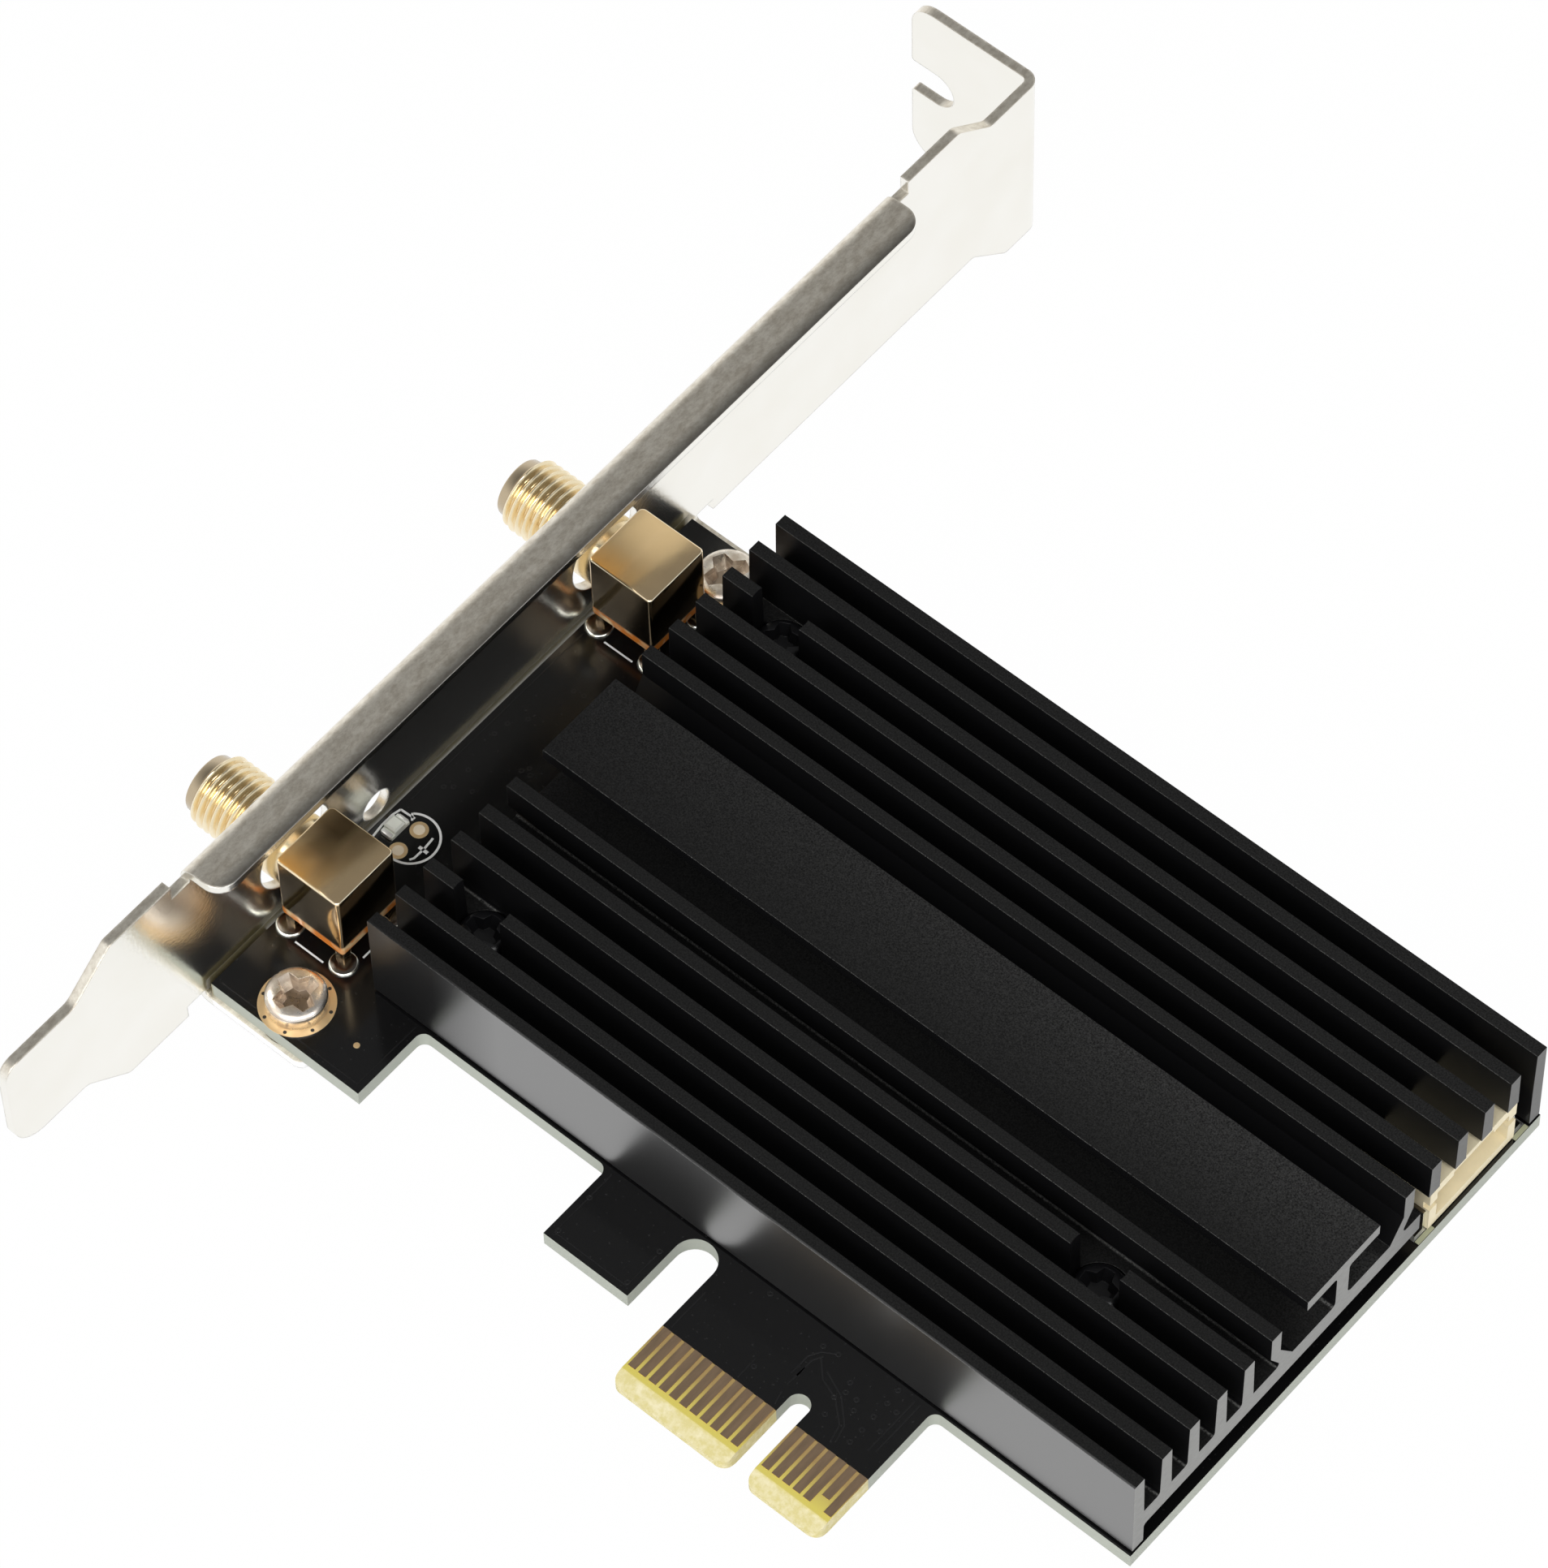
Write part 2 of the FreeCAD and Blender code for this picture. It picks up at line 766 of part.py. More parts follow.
def radio_shield():
    half_x = module_length / 2 - shield_margin
    half_y = module_width / 2 - shield_margin
    can = box(module_x - half_x, module_x + half_x, module_y - half_y, module_y + half_y,
              module_board, shield_top)
    hollow = box(module_x - half_x + shield_sheet, module_x + half_x - shield_sheet,
                 module_y - half_y + shield_sheet, module_y + half_y - shield_sheet,
                 module_board - 1, shield_top - shield_sheet)
    return can.cut(hollow)


def thermal_pad():
    half_x = module_length / 2 - pad_margin
    half_y = module_width / 2 - pad_margin
    return box(module_x - half_x, module_x + half_x, module_y - half_y, module_y + half_y,
               shield_top, base_underside)


def chip_parts(places):
    bricks = []
    for along, across, length, width, height in places:
        x = module_x + along
        y = module_y + across
        bricks.append(box(x - length / 2, x + length / 2, y - width / 2, y + width / 2, 0, height))
    return group(bricks)


pieces = {
    "circuit_board": circuit_board(),
    "contacts_front": edge_contacts(0, contacts_left + contacts_right - 2),
    "contacts_back": edge_contacts(-board_thickness - contact_thickness, 0),
    "bracket": bracket(),
    "bracket_screws": bracket_screws(),
    "status_lamp": status_lamp(),
    "heat_sink": heat_sink(),
    "heat_sink_screws": heat_sink_screws(),
    "heat_sink_spacers": spacers(),
    "header_housing": header_housing(),
    "header_pins": header_pins(),
    "header_tabs": header_tabs(),
    "radio_module": radio_module(),
    "radio_chip": radio_chip(),
    "radio_shield": radio_shield(),
    "thermal_pad": thermal_pad(),
    "supply_capacitors": chip_parts(supply_parts),
    "small_resistors": chip_parts(resistor_parts),
}
for letter, jack_y in (("a", jack_low), ("b", jack_high)):
    pieces["jack_" + letter + "_body"] = jack_body(jack_y)
    pieces["jack_" + letter + "_insulator"] = jack_insulator(jack_y)
    pieces["jack_" + letter + "_contact"] = jack_contact(jack_y)

os.makedirs("parts", exist_ok=True)
for name, shape in pieces.items():
    shape.exportStep("parts/" + name + ".step")
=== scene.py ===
import bpy
import bmesh
import json
import math
import random
from mathutils import Matrix, Vector


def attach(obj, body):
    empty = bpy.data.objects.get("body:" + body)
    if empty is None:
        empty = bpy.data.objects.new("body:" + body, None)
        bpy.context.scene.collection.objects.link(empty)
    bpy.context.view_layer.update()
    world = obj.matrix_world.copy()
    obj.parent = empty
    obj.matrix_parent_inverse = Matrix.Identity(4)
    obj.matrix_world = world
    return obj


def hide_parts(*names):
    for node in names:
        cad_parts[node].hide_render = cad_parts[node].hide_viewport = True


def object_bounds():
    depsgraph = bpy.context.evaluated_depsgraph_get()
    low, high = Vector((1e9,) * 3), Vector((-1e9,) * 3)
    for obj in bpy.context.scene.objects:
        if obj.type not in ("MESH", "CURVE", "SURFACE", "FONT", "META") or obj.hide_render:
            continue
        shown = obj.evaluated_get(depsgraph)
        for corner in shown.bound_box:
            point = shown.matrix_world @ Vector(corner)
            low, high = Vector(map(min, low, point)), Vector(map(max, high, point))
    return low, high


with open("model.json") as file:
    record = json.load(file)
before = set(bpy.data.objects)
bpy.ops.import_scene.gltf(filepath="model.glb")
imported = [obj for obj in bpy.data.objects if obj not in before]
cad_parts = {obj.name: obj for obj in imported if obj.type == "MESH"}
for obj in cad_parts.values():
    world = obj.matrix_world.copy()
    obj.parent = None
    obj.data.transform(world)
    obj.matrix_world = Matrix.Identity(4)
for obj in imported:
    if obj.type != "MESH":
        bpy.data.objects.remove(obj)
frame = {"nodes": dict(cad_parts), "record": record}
cad_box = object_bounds()
nodes = frame["nodes"]
MM = 0.001


# Places and sizes taken from the model, in millimetres

BOARD_LEFT = -57.83
BOARD_UNDER = -1.57
JACK_X = -53.98
JACK_Y = (10.6, 46.4)
JACK_AXIS = 6.2
JACK_BORE = 2.05
CUBE_HALF = 3.22
CUBE_BACK = -57.13
CUBE_LOW = 2.0
CUBE_HIGH = 9.4
LEG_HALF = 0.45
LEG_HALF_PITCH = 2.54
BRACKET_SCREW_X = -51.63
BRACKET_SCREW_Y = (2.95, 53.0)
SINK_SCREWS = ((-42.48, 14.44), (-42.48, 48.94), (12.47, 20.74))
SINK_SCREW_SEAT = 4.45
SPARE_LAMP_X = -54.9
SPARE_LAMP_Y = (18.03, 20.47)
NOTCH_SIDES = (-42.71, -24.03, -15.7, -12.05)


# Heights and widths of what lies on the board, in millimetres

PAD_HEIGHT = 0.03
PRINT_HEIGHT = 0.02
FOOT_LINE_WIDTH = 0.16
LAMP_LINE_WIDTH = 0.19
TRACE_WIDTH = 0.13


# Tilt of a polished face's normal for each millimetre from its middle

CROWN = 0.012


# Small helpers for shaders

def add(tree, kind, **settings):
    """A new node of a tree, with its plain settings."""
    node = tree.nodes.new(kind)
    for name, value in settings.items():
        setattr(node, name, value)
    return node


def wire(tree, source, target):
    """Joins an output socket to an input socket."""
    tree.links.new(source, target)


def put(tree, value, socket):
    """Sets a socket to a number or colour, or joins it to another socket."""
    if isinstance(value, bpy.types.NodeSocket):
        wire(tree, value, socket)
    else:
        socket.default_value = value


def rgb(red, green, blue):
    """An opaque colour."""
    return (red, green, blue, 1.0)


def principled(name, colour, metallic=0.0, roughness=0.5, **sockets):
    """A material with a principled shader, its tree and that shader."""
    material = bpy.data.materials.new(name)
    material.use_nodes = True
    tree = material.node_tree
    shader = tree.nodes["Principled BSDF"]
    shader.inputs["Base Color"].default_value = colour
    shader.inputs["Metallic"].default_value = metallic
    shader.inputs["Roughness"].default_value = roughness
    for socket, value in sockets.items():
        shader.inputs[socket.replace("_", " ")].default_value = value
    return material, tree, shader


def place(tree):
    """Coordinates in metres in the row's frame."""
    return add(tree, "ShaderNodeTexCoord").outputs["Object"]


def here(tree):
    """X, Y and Z of the shaded place, in metres in the row's frame."""
    spot = add(tree, "ShaderNodeSeparateXYZ")
    wire(tree, place(tree), spot.inputs[0])
    return spot.outputs


def noise(tree, size_mm, detail=2.0, roughness=0.5, stretch=(1, 1, 1)):
    """Noise whose grains are about size_mm wide, drawn out along each axis by stretch."""
    mapping = add(tree, "ShaderNodeMapping")
    wire(tree, place(tree), mapping.inputs["Vector"])
    mapping.inputs["Scale"].default_value = [1 / value for value in stretch]
    texture = add(tree, "ShaderNodeTexNoise")
    wire(tree, mapping.outputs["Vector"], texture.inputs["Vector"])
    texture.inputs["Scale"].default_value = 1 / (size_mm * MM)
    texture.inputs["Detail"].default_value = detail
    texture.inputs["Roughness"].default_value = roughness
    return texture.outputs["Fac"]


def spread(tree, value, low, high, out_low=0.0, out_high=1.0):
    """value from low..high, carried to out_low..out_high and held there."""
    node = add(tree, "ShaderNodeMapRange")
    put(tree, value, node.inputs["Value"])
    node.inputs["From Min"].default_value = low
    node.inputs["From Max"].default_value = high
    node.inputs["To Min"].default_value = out_low
    node.inputs["To Max"].default_value = out_high
    return node.outputs["Result"]


def zone(tree, distance, start_mm, end_mm, out_low=0.0, out_high=1.0):
    """As spread, over a distance whose two ends are in millimetres."""
    return spread(tree, distance, start_mm * MM, end_mm * MM, out_low, out_high)


def blend_colours(tree, share, first, second):
    """The first colour at a share of 0, the second at 1."""
    node = add(tree, "ShaderNodeMix", data_type="RGBA")
    put(tree, share, node.inputs[0])
    put(tree, first, node.inputs[6])
    put(tree, second, node.inputs[7])
    return node.outputs[2]


def sums(tree, operation, first, second=0.0, third=0.0):
    """One step of arithmetic on numbers or sockets."""
    node = add(tree, "ShaderNodeMath", operation=operation)
    for value, socket in zip((first, second, third), node.inputs):
        put(tree, value, socket)
    return node.outputs[0]


def product(tree, first, *others):
    """Numbers or sockets multiplied together."""
    for other in others:
        first = sums(tree, "MULTIPLY", first, other)
    return first


def inverse(tree, share):
    """What a share leaves over."""
    return sums(tree, "SUBTRACT", 1.0, share)


def bump(tree, shader, height, strength, distance_mm, softened_mm=0.0):
    """Relief of a height field, over edges that look rounded to softened_mm."""
    node = add(tree, "ShaderNodeBump")
    node.inputs["Strength"].default_value = strength
    node.inputs["Distance"].default_value = distance_mm * MM
    put(tree, height, node.inputs["Height"])
    if softened_mm:
        wire(tree, soft_edges(tree, softened_mm), node.inputs["Normal"])
    wire(tree, node.outputs["Normal"], shader.inputs["Normal"])


def soft_edges(tree, radius_mm):
    """Normals that look rounded over edges."""
    node = add(tree, "ShaderNodeBevel", samples=4)
    node.inputs["Radius"].default_value = radius_mm * MM
    return node.outputs["Normal"]


def facing(tree, axis):
    """How far the true surface faces along an axis, from -1 to 1."""
    geometry = add(tree, "ShaderNodeNewGeometry")
    normal = add(tree, "ShaderNodeSeparateXYZ")
    wire(tree, geometry.outputs["True Normal"], normal.inputs[0])
    return normal.outputs[axis]


# Finishes

def steel_finish():
    """Bright rolled steel, mirror-like on the strip's faces and frosted on the upward edges, with painted shade
    behind the board and at the lip's free edge, and painted white on the ears.
    """
    material, tree, shader = principled("bracket_steel", rgb(0.9, 0.885, 0.845), 1.0, 0.2)
    spot = here(tree)
    up = spread(tree, facing(tree, "Z"), 0.25, 0.85)
    under = spread(tree, facing(tree, "Z"), -0.5, -0.9)
    mottle = noise(tree, 6.0, 3.0)
    sheet = blend_colours(tree, mottle, rgb(0.88, 0.86, 0.79), rgb(0.95, 0.94, 0.90))
    # Painted shade: a dark, dull strip behind the board's edge, on the sheet's inner face
    beside_board = product(tree, zone(tree, spot["Y"], -0.2, 0.4), zone(tree, spot["Y"], 56.1, 55.5))
    gap_shade = product(tree, beside_board, zone(tree, spot["Z"], 0.1, 0.0), spread(tree, facing(tree, "X"), 0.9, 0.95))
    # Painted light: the ears under the board are painted white, so they look lit
    ears = product(tree, zone(tree, spot["X"], -57.6, -57.4), zone(tree, spot["Z"], -1.4, -1.6))
    faces = blend_colours(tree, gap_shade, sheet, rgb(0.17, 0.15, 0.085))
    faces = blend_colours(tree, ears, faces, rgb(1.0, 1.0, 1.0))
    # Frosted lip, with painted shade darkening it towards its free edge
    fine = spread(tree, noise(tree, 0.45, 4.0, 0.7, (1, 2, 1)), 0.35, 0.65)
    frosted = blend_colours(tree, fine, rgb(0.66, 0.60, 0.50), rgb(0.92, 0.87, 0.76))
    lip = product(tree, zone(tree, spot["X"], -56.3, -54.95, 0.0, 0.9), zone(tree, spot["Z"], 10.0, 12.0))
    frosted = blend_colours(tree, lip, frosted, rgb(0.10, 0.096, 0.09))
    wire(tree, blend_colours(tree, up, faces, frosted), shader.inputs["Base Color"])
    level = sums(tree, "MAXIMUM", up, under)
    wire(tree, sums(tree, "MULTIPLY_ADD", level, 0.18, 0.2), shader.inputs["Roughness"])
    # The painted dark strip and the painted white ears are less metallic
    dull = sums(tree, "MAXIMUM", gap_shade, product(tree, ears, 0.8))
    wire(tree, spread(tree, dull, 0.0, 1.0, 1.0, 0.2), shader.inputs["Metallic"])
    waves = sums(tree, "MULTIPLY_ADD", noise(tree, 9.0, 1.0), 6.0, noise(tree, 0.3, 3.0))
    bump(tree, shader, waves, 0.45, 0.02, 0.25)
    return material


def thread_gold(tree, spot, along):
    """Colours of a barrel: a painted highlight makes the thread's crests paler and painted shade makes the nose
    browner.
    """
    high = sums(tree, "SUBTRACT", spot["Z"], JACK_AXIS * MM)
    radius = sums(tree, "SQRT", sums(tree, "MULTIPLY_ADD", along, along, product(tree, high, high)))
    # Painted highlight on the thread's crests
    crest = zone(tree, radius, 2.82, 3.04)
    # Painted shade on the nose
    nose = zone(tree, spot["X"], -66.3, -66.5)
    thread = blend_colours(tree, crest, rgb(0.84, 0.65, 0.36), rgb(0.94, 0.82, 0.58))
    return blend_colours(tree, nose, thread, rgb(0.50, 0.40, 0.26))


def cube_gold(tree):
    """Colours of a cube, with painted shade on its near faces and a painted highlight on its rounded top edge."""
    # Painted shade on the faces towards -Y and +X
    low_side_shade = spread(tree, facing(tree, "Y"), -0.85, -0.98, 0.0, 0.72)
    far_side_shade = spread(tree, facing(tree, "X"), 0.85, 0.98, 0.0, 0.2)
    near = sums(tree, "MAXIMUM", low_side_shade, far_side_shade)
    # Painted highlight along the rounded top edge
    rim = product(tree, spread(tree, facing(tree, "Z"), 0.3, 0.5), spread(tree, facing(tree, "Z"), 0.95, 0.8))
    gold = blend_colours(tree, near, rgb(0.90, 0.68, 0.40), rgb(0.20, 0.16, 0.12))
    return blend_colours(tree, rim, gold, rgb(1.0, 0.90, 0.68))


def crowned_normal(tree, spot, along, inside, relief):
    """Normals of a cube whose polished faces are crowned a little, with a relief on them."""
    crown = product(tree, inside, CROWN / MM)
    from_middle = sums(tree, "SUBTRACT", spot["X"], JACK_X * MM)
    tilt = add(tree, "ShaderNodeCombineXYZ")
    wire(tree, product(tree, from_middle, crown), tilt.inputs["X"])
    wire(tree, product(tree, along, crown), tilt.inputs["Y"])
    crowned = add(tree, "ShaderNodeVectorMath", operation="ADD")
    wire(tree, relief.outputs["Normal"], crowned.inputs[0])
    wire(tree, tilt.outputs[0], crowned.inputs[1])
    normal = add(tree, "ShaderNodeVectorMath", operation="NORMALIZE")
    wire(tree, crowned.outputs[0], normal.inputs[0])
    return normal.outputs[0]


def gold_finish():
    """Polished gold with slightly crowned tops, paler on the barrels outside the bracket, with painted reflections on
    the tops beside the lip and round the cubes' foot.
    """
    material, tree, shader = principled("jack_gold", rgb(0.86, 0.64, 0.36), 1.0, 0.1)
    spot = here(tree)
    outside = zone(tree, spot["X"], -57.0, -58.0)
    inside = inverse(tree, outside)
    second = sums(tree, "GREATER_THAN", spot["Y"], sum(JACK_Y) / 2 * MM)
    middle = spread(tree, second, 0.0, 1.0, JACK_Y[0] * MM, JACK_Y[1] * MM)
    along = sums(tree, "SUBTRACT", spot["Y"], middle)
    # Painted reflections: warm and dark patches on the top, beside the lip
    top = product(tree, spread(tree, facing(tree, "Z"), 0.9, 0.97), inside)
    by_lip = product(tree, top, zone(tree, spot["X"], JACK_X + 0.1, JACK_X - 0.7))
    amber = product(tree, by_lip, zone(tree, along, -0.6, -3.0))
    umber_reflection = product(tree, by_lip, zone(tree, along, -0.8, 1.6, 0.0, 0.72), inverse(tree, second))
    # Painted glow: an orange band round the cube's foot, standing for reflected light
    painted_foot_glow = product(tree, zone(tree, spot["Z"], 3.2, 2.95), inside, zone(tree, spot["Z"], 1.9, 2.0))
    patches = spread(tree, noise(tree, 1.6, 2.0), 0.52, 0.66)
    foot_glow_colour = blend_colours(tree, patches, rgb(0.88, 0.27, 0.035), rgb(1.0, 0.72, 0.38))
    gold = blend_colours(tree, outside, cube_gold(tree), thread_gold(tree, spot, along))
    gold = blend_colours(tree, umber_reflection, gold, rgb(0.20, 0.12, 0.05))
    gold = blend_colours(tree, amber, gold, rgb(0.97, 0.58, 0.20))
    wire(tree, blend_colours(tree, painted_foot_glow, gold, foot_glow_colour), shader.inputs["Base Color"])
    # The painted glow and the painted amber reflection are less metallic
    matt = sums(tree, "MAXIMUM", product(tree, painted_foot_glow, 0.85), product(tree, amber, 0.2))
    wire(tree, inverse(tree, matt), shader.inputs["Metallic"])
    wear = spread(tree, noise(tree, 1.5, 4.0), 0.3, 0.7, 0.07, 0.14)
    rough = sums(tree, "MULTIPLY_ADD", outside, 0.12, wear)
    wire(tree, sums(tree, "MULTIPLY_ADD", top, 0.13, rough), shader.inputs["Roughness"])
    wire(tree, product(tree, outside, 0.3), shader.inputs["Coat Weight"])
    shader.inputs["Coat Roughness"].default_value = 0.12
    shader.inputs["Coat IOR"].default_value = 2.2
    relief = add(tree, "ShaderNodeBump")
    relief.inputs["Distance"].default_value = 0.04 * MM
    wire(tree, spread(tree, top, 0.0, 1.0, 0.2, 0.02), relief.inputs["Strength"])
    wire(tree, noise(tree, 2.6, 1.0), relief.inputs["Height"])
    wire(tree, crowned_normal(tree, spot, along, inside, relief), shader.inputs["Normal"])
    return material


def contact_finish():
    """Thin brownish gold plating with faint streaks along the contacts."""
    material, tree, shader = principled("contact_gold", rgb(0.60, 0.42, 0.24), 1.0, 0.35)
    streak = noise(tree, 0.5, 3.0, 0.6, (1, 5, 1))
    wire(tree, blend_colours(tree, streak, rgb(0.42, 0.30, 0.20), rgb(0.74, 0.52, 0.33)), shader.inputs["Base Color"])
    bump(tree, shader, noise(tree, 0.2), 0.1, 0.01)
    return material


def bare_board(tree, spot):
    """Colours of the tongue without mask: amber between the contacts and pale, frayed glass at the tip."""
    mottle = noise(tree, 1.2, 4.0)
    between = blend_colours(tree, mottle, rgb(0.34, 0.23, 0.08), rgb(0.40, 0.28, 0.11))
    between = blend_colours(tree, zone(tree, spot["Y"], -1.6, -4.5), between, rgb(0.68, 0.58, 0.12))
    fibres = spread(tree, noise(tree, 0.6, 3.0, 0.6), 0.4, 0.7)
    fray = blend_colours(tree, fibres, rgb(0.67, 0.59, 0.26), rgb(0.80, 0.73, 0.47))
    tip = zone(tree, spot["Y"], -4.7, -5.0)
    return blend_colours(tree, tip, between, fray), fray


def board_finish():
    """Black mask on the faces, bare laminate at the edges and round the contacts."""
    material, tree, shader = principled("board", rgb(0.012, 0.012, 0.013), 0.0, 0.22)
    spot = here(tree)
    side = spread(tree, sums(tree, "ABSOLUTE", facing(tree, "Z")), 0.97, 0.9)
    bare = zone(tree, spot["Y"], -0.19, -0.21)
    laminate, fray = bare_board(tree, spot)
    glass = noise(tree, 0.35, 3.0, 0.6, (3, 3, 0.5))
    pale = blend_colours(tree, glass, rgb(0.39, 0.42, 0.36), rgb(0.44, 0.46, 0.41))
    # Painted shade: the board's edge is darker beside the bracket
    shade_by_bracket = zone(tree, spot["X"], -57.6, -57.8)
    edge = blend_colours(tree, shade_by_bracket, pale, rgb(0.30, 0.27, 0.16))
    dust = spread(tree, noise(tree, 0.3, 1.0), 0.68, 0.76)
    mask = blend_colours(tree, dust, rgb(0.0045, 0.0045, 0.0047), rgb(0.017, 0.017, 0.017))
    face = blend_colours(tree, bare, mask, laminate)
    rim = blend_colours(tree, bare, edge, fray)
    wire(tree, blend_colours(tree, side, face, rim), shader.inputs["Base Color"])
    matt = sums(tree, "MAXIMUM", side, bare)
    wire(tree, spread(tree, matt, 0.0, 1.0, 0.14, 0.55), shader.inputs["Roughness"])
    shader.inputs["Specular IOR Level"].default_value = 0.45
    bump(tree, shader, noise(tree, 4.0), 0.1, 0.02)
    return material


def sink_top(tree, spot, speckle):
    """Speckled black of the upward faces, with a painted sheen across the centre plate and painted highlights along
    the rounded edges that face -Y.
    """
    # Painted sheen, lighter across the centre plate
    across_plate = product(tree, zone(tree, spot["Y"], 27.5, 36.0), zone(tree, spot["Y"], 36.6, 36.0, 0.15, 1.0))
    along_plate = zone(tree, spot["X"], -48.0, 26.0, 0.2, 0.75)
    plate_sheen = sums(tree, "MULTIPLY_ADD", across_plate, along_plate, 0.3)
    top = blend_colours(tree, product(tree, speckle, plate_sheen), rgb(0.006, 0.006, 0.006), rgb(0.052, 0.052, 0.051))
    # Painted highlight along the rounded edges facing -Y
    rounded = add(tree, "ShaderNodeSeparateXYZ")
    wire(tree, soft_edges(tree, 0.12), rounded.inputs[0])
    edge_highlight = product(tree, spread(tree, rounded.outputs["Y"], -0.15, -0.5), speckle)
    return blend_colours(tree, edge_highlight, top, rgb(0.22, 0.22, 0.21))


def sawn_metal(tree, spot):
    """Bare sawn aluminium, with painted shade darkening it beside the header."""
    saw = noise(tree, 0.12, 3.0, 0.6, (1, 6, 1))
    bare = blend_colours(tree, saw, rgb(0.20, 0.20, 0.195), rgb(0.40, 0.40, 0.39))
    # Painted shade: darker beside the header
    return blend_colours(tree, zone(tree, spot["Y"], 36.0, 43.0, 0.0, 0.6), bare, rgb(0.08, 0.08, 0.08))


def sink_finish():
    """Smooth black on the sides, speckled on the upward faces, bare metal on the sawn ends."""
    material, tree, shader = principled("sink_black", rgb(0.008, 0.008, 0.0085), 0.0, 0.16, IOR=2.3)
    spot = here(tree)
    up = spread(tree, facing(tree, "Z"), 0.7, 0.9)
    far_end = zone(tree, spot["X"], 26.40, 26.45)
    jack_end = zone(tree, spot["X"], -47.75, -47.80)
    across = spread(tree, sums(tree, "ABSOLUTE", facing(tree, "X")), 0.95, 0.99)
    sawn = product(tree, sums(tree, "MAXIMUM", far_end, jack_end), across)
    outer = zone(tree, spot["Y"], 7.8, 7.7)
    fine = noise(tree, 0.13, 2.0, 0.6)
    speckle = spread(tree, fine, 0.3, 0.8)
    wall = blend_colours(tree, product(tree, outer, speckle), rgb(0.006, 0.006, 0.0065), rgb(0.014, 0.014, 0.014))
    dark = blend_colours(tree, up, wall, sink_top(tree, spot, speckle))
    wire(tree, blend_colours(tree, sawn, dark, sawn_metal(tree, spot)), shader.inputs["Base Color"])
    wire(tree, product(tree, sawn, 0.85), shader.inputs["Metallic"])
    rough = sums(tree, "MULTIPLY_ADD", up, 0.25, spread(tree, outer, 0.0, 1.0, 0.3, 0.33))
    wire(tree, sums(tree, "MULTIPLY_ADD", sawn, 0.2, rough), shader.inputs["Roughness"])
    # The outer wall shines, but not where the jack shades it
    shine = sums(tree, "MULTIPLY_ADD", outer, zone(tree, spot["X"], -41.5, -35.0, 0.07, 0.72), 0.04)
    shine = product(tree, shine, spread(tree, up, 0.0, 1.0, 1.0, 0.45))
    wire(tree, shine, shader.inputs["Specular IOR Level"])
    bump(tree, shader, fine, 0.2, 0.015, 0.07)
    return material


def plain_finish(name, colour, metallic, roughness, grain_mm=0.4, strength=0.05):
    """One colour with a faint mottle and a fine grain."""
    material, tree, shader = principled(name, colour, metallic, roughness)
    tone = noise(tree, grain_mm * 4, 3.0)
    dim = tuple(value * 0.82 for value in colour[:3]) + (1.0,)
    wire(tree, blend_colours(tree, tone, dim, colour), shader.inputs["Base Color"])
    bump(tree, shader, noise(tree, grain_mm), strength, 0.02, 0.05)
    return material


def worn_finish():
    """Bright screw metal with scuffs, small dents and painted shade in the cross recess."""
    material, tree, shader = principled("screw_steel", rgb(0.85, 0.77, 0.68), 1.0, 0.3)
    spot = here(tree)
    scuffs = spread(tree, noise(tree, 0.9, 3.0, 0.6), 0.35, 0.65)
    metal = blend_colours(tree, scuffs, rgb(0.70, 0.61, 0.52), rgb(1.0, 0.95, 0.88))
    # Painted shade on the recess's sides and floor
    recess_side_shade = product(tree, spread(tree, facing(tree, "Z"), 0.35, 0.2), zone(tree, spot["Z"], 1.18, 1.22))
    recess_floor_shade = product(tree, spread(tree, facing(tree, "Z"), 0.7, 0.9), zone(tree, spot["Z"], 1.2, 1.0))
    recess = sums(tree, "MAXIMUM", recess_side_shade, recess_floor_shade)
    wire(tree, blend_colours(tree, recess, metal, rgb(0.36, 0.29, 0.23)), shader.inputs["Base Color"])
    wire(tree, spread(tree, scuffs, 0.0, 1.0, 0.42, 0.22), shader.inputs["Roughness"])
    bump(tree, shader, noise(tree, 0.8, 1.0), 0.5, 0.05, 0.05)
    return material


def solder_finish():
    """Solder, bright at its steep rim, with painted shade darkening it where it lies flat."""
    material, tree, shader = principled("tin", rgb(0.7, 0.69, 0.67), 1.0, 0.25)
    # Painted shade where the solder lies flat
    flat = spread(tree, facing(tree, "Z"), 0.88, 0.97)
    wire(tree, blend_colours(tree, flat, rgb(0.85, 0.86, 0.80), rgb(0.16, 0.14, 0.12)), shader.inputs["Base Color"])
    bump(tree, shader, noise(tree, 0.6), 0.2, 0.02)
    return material


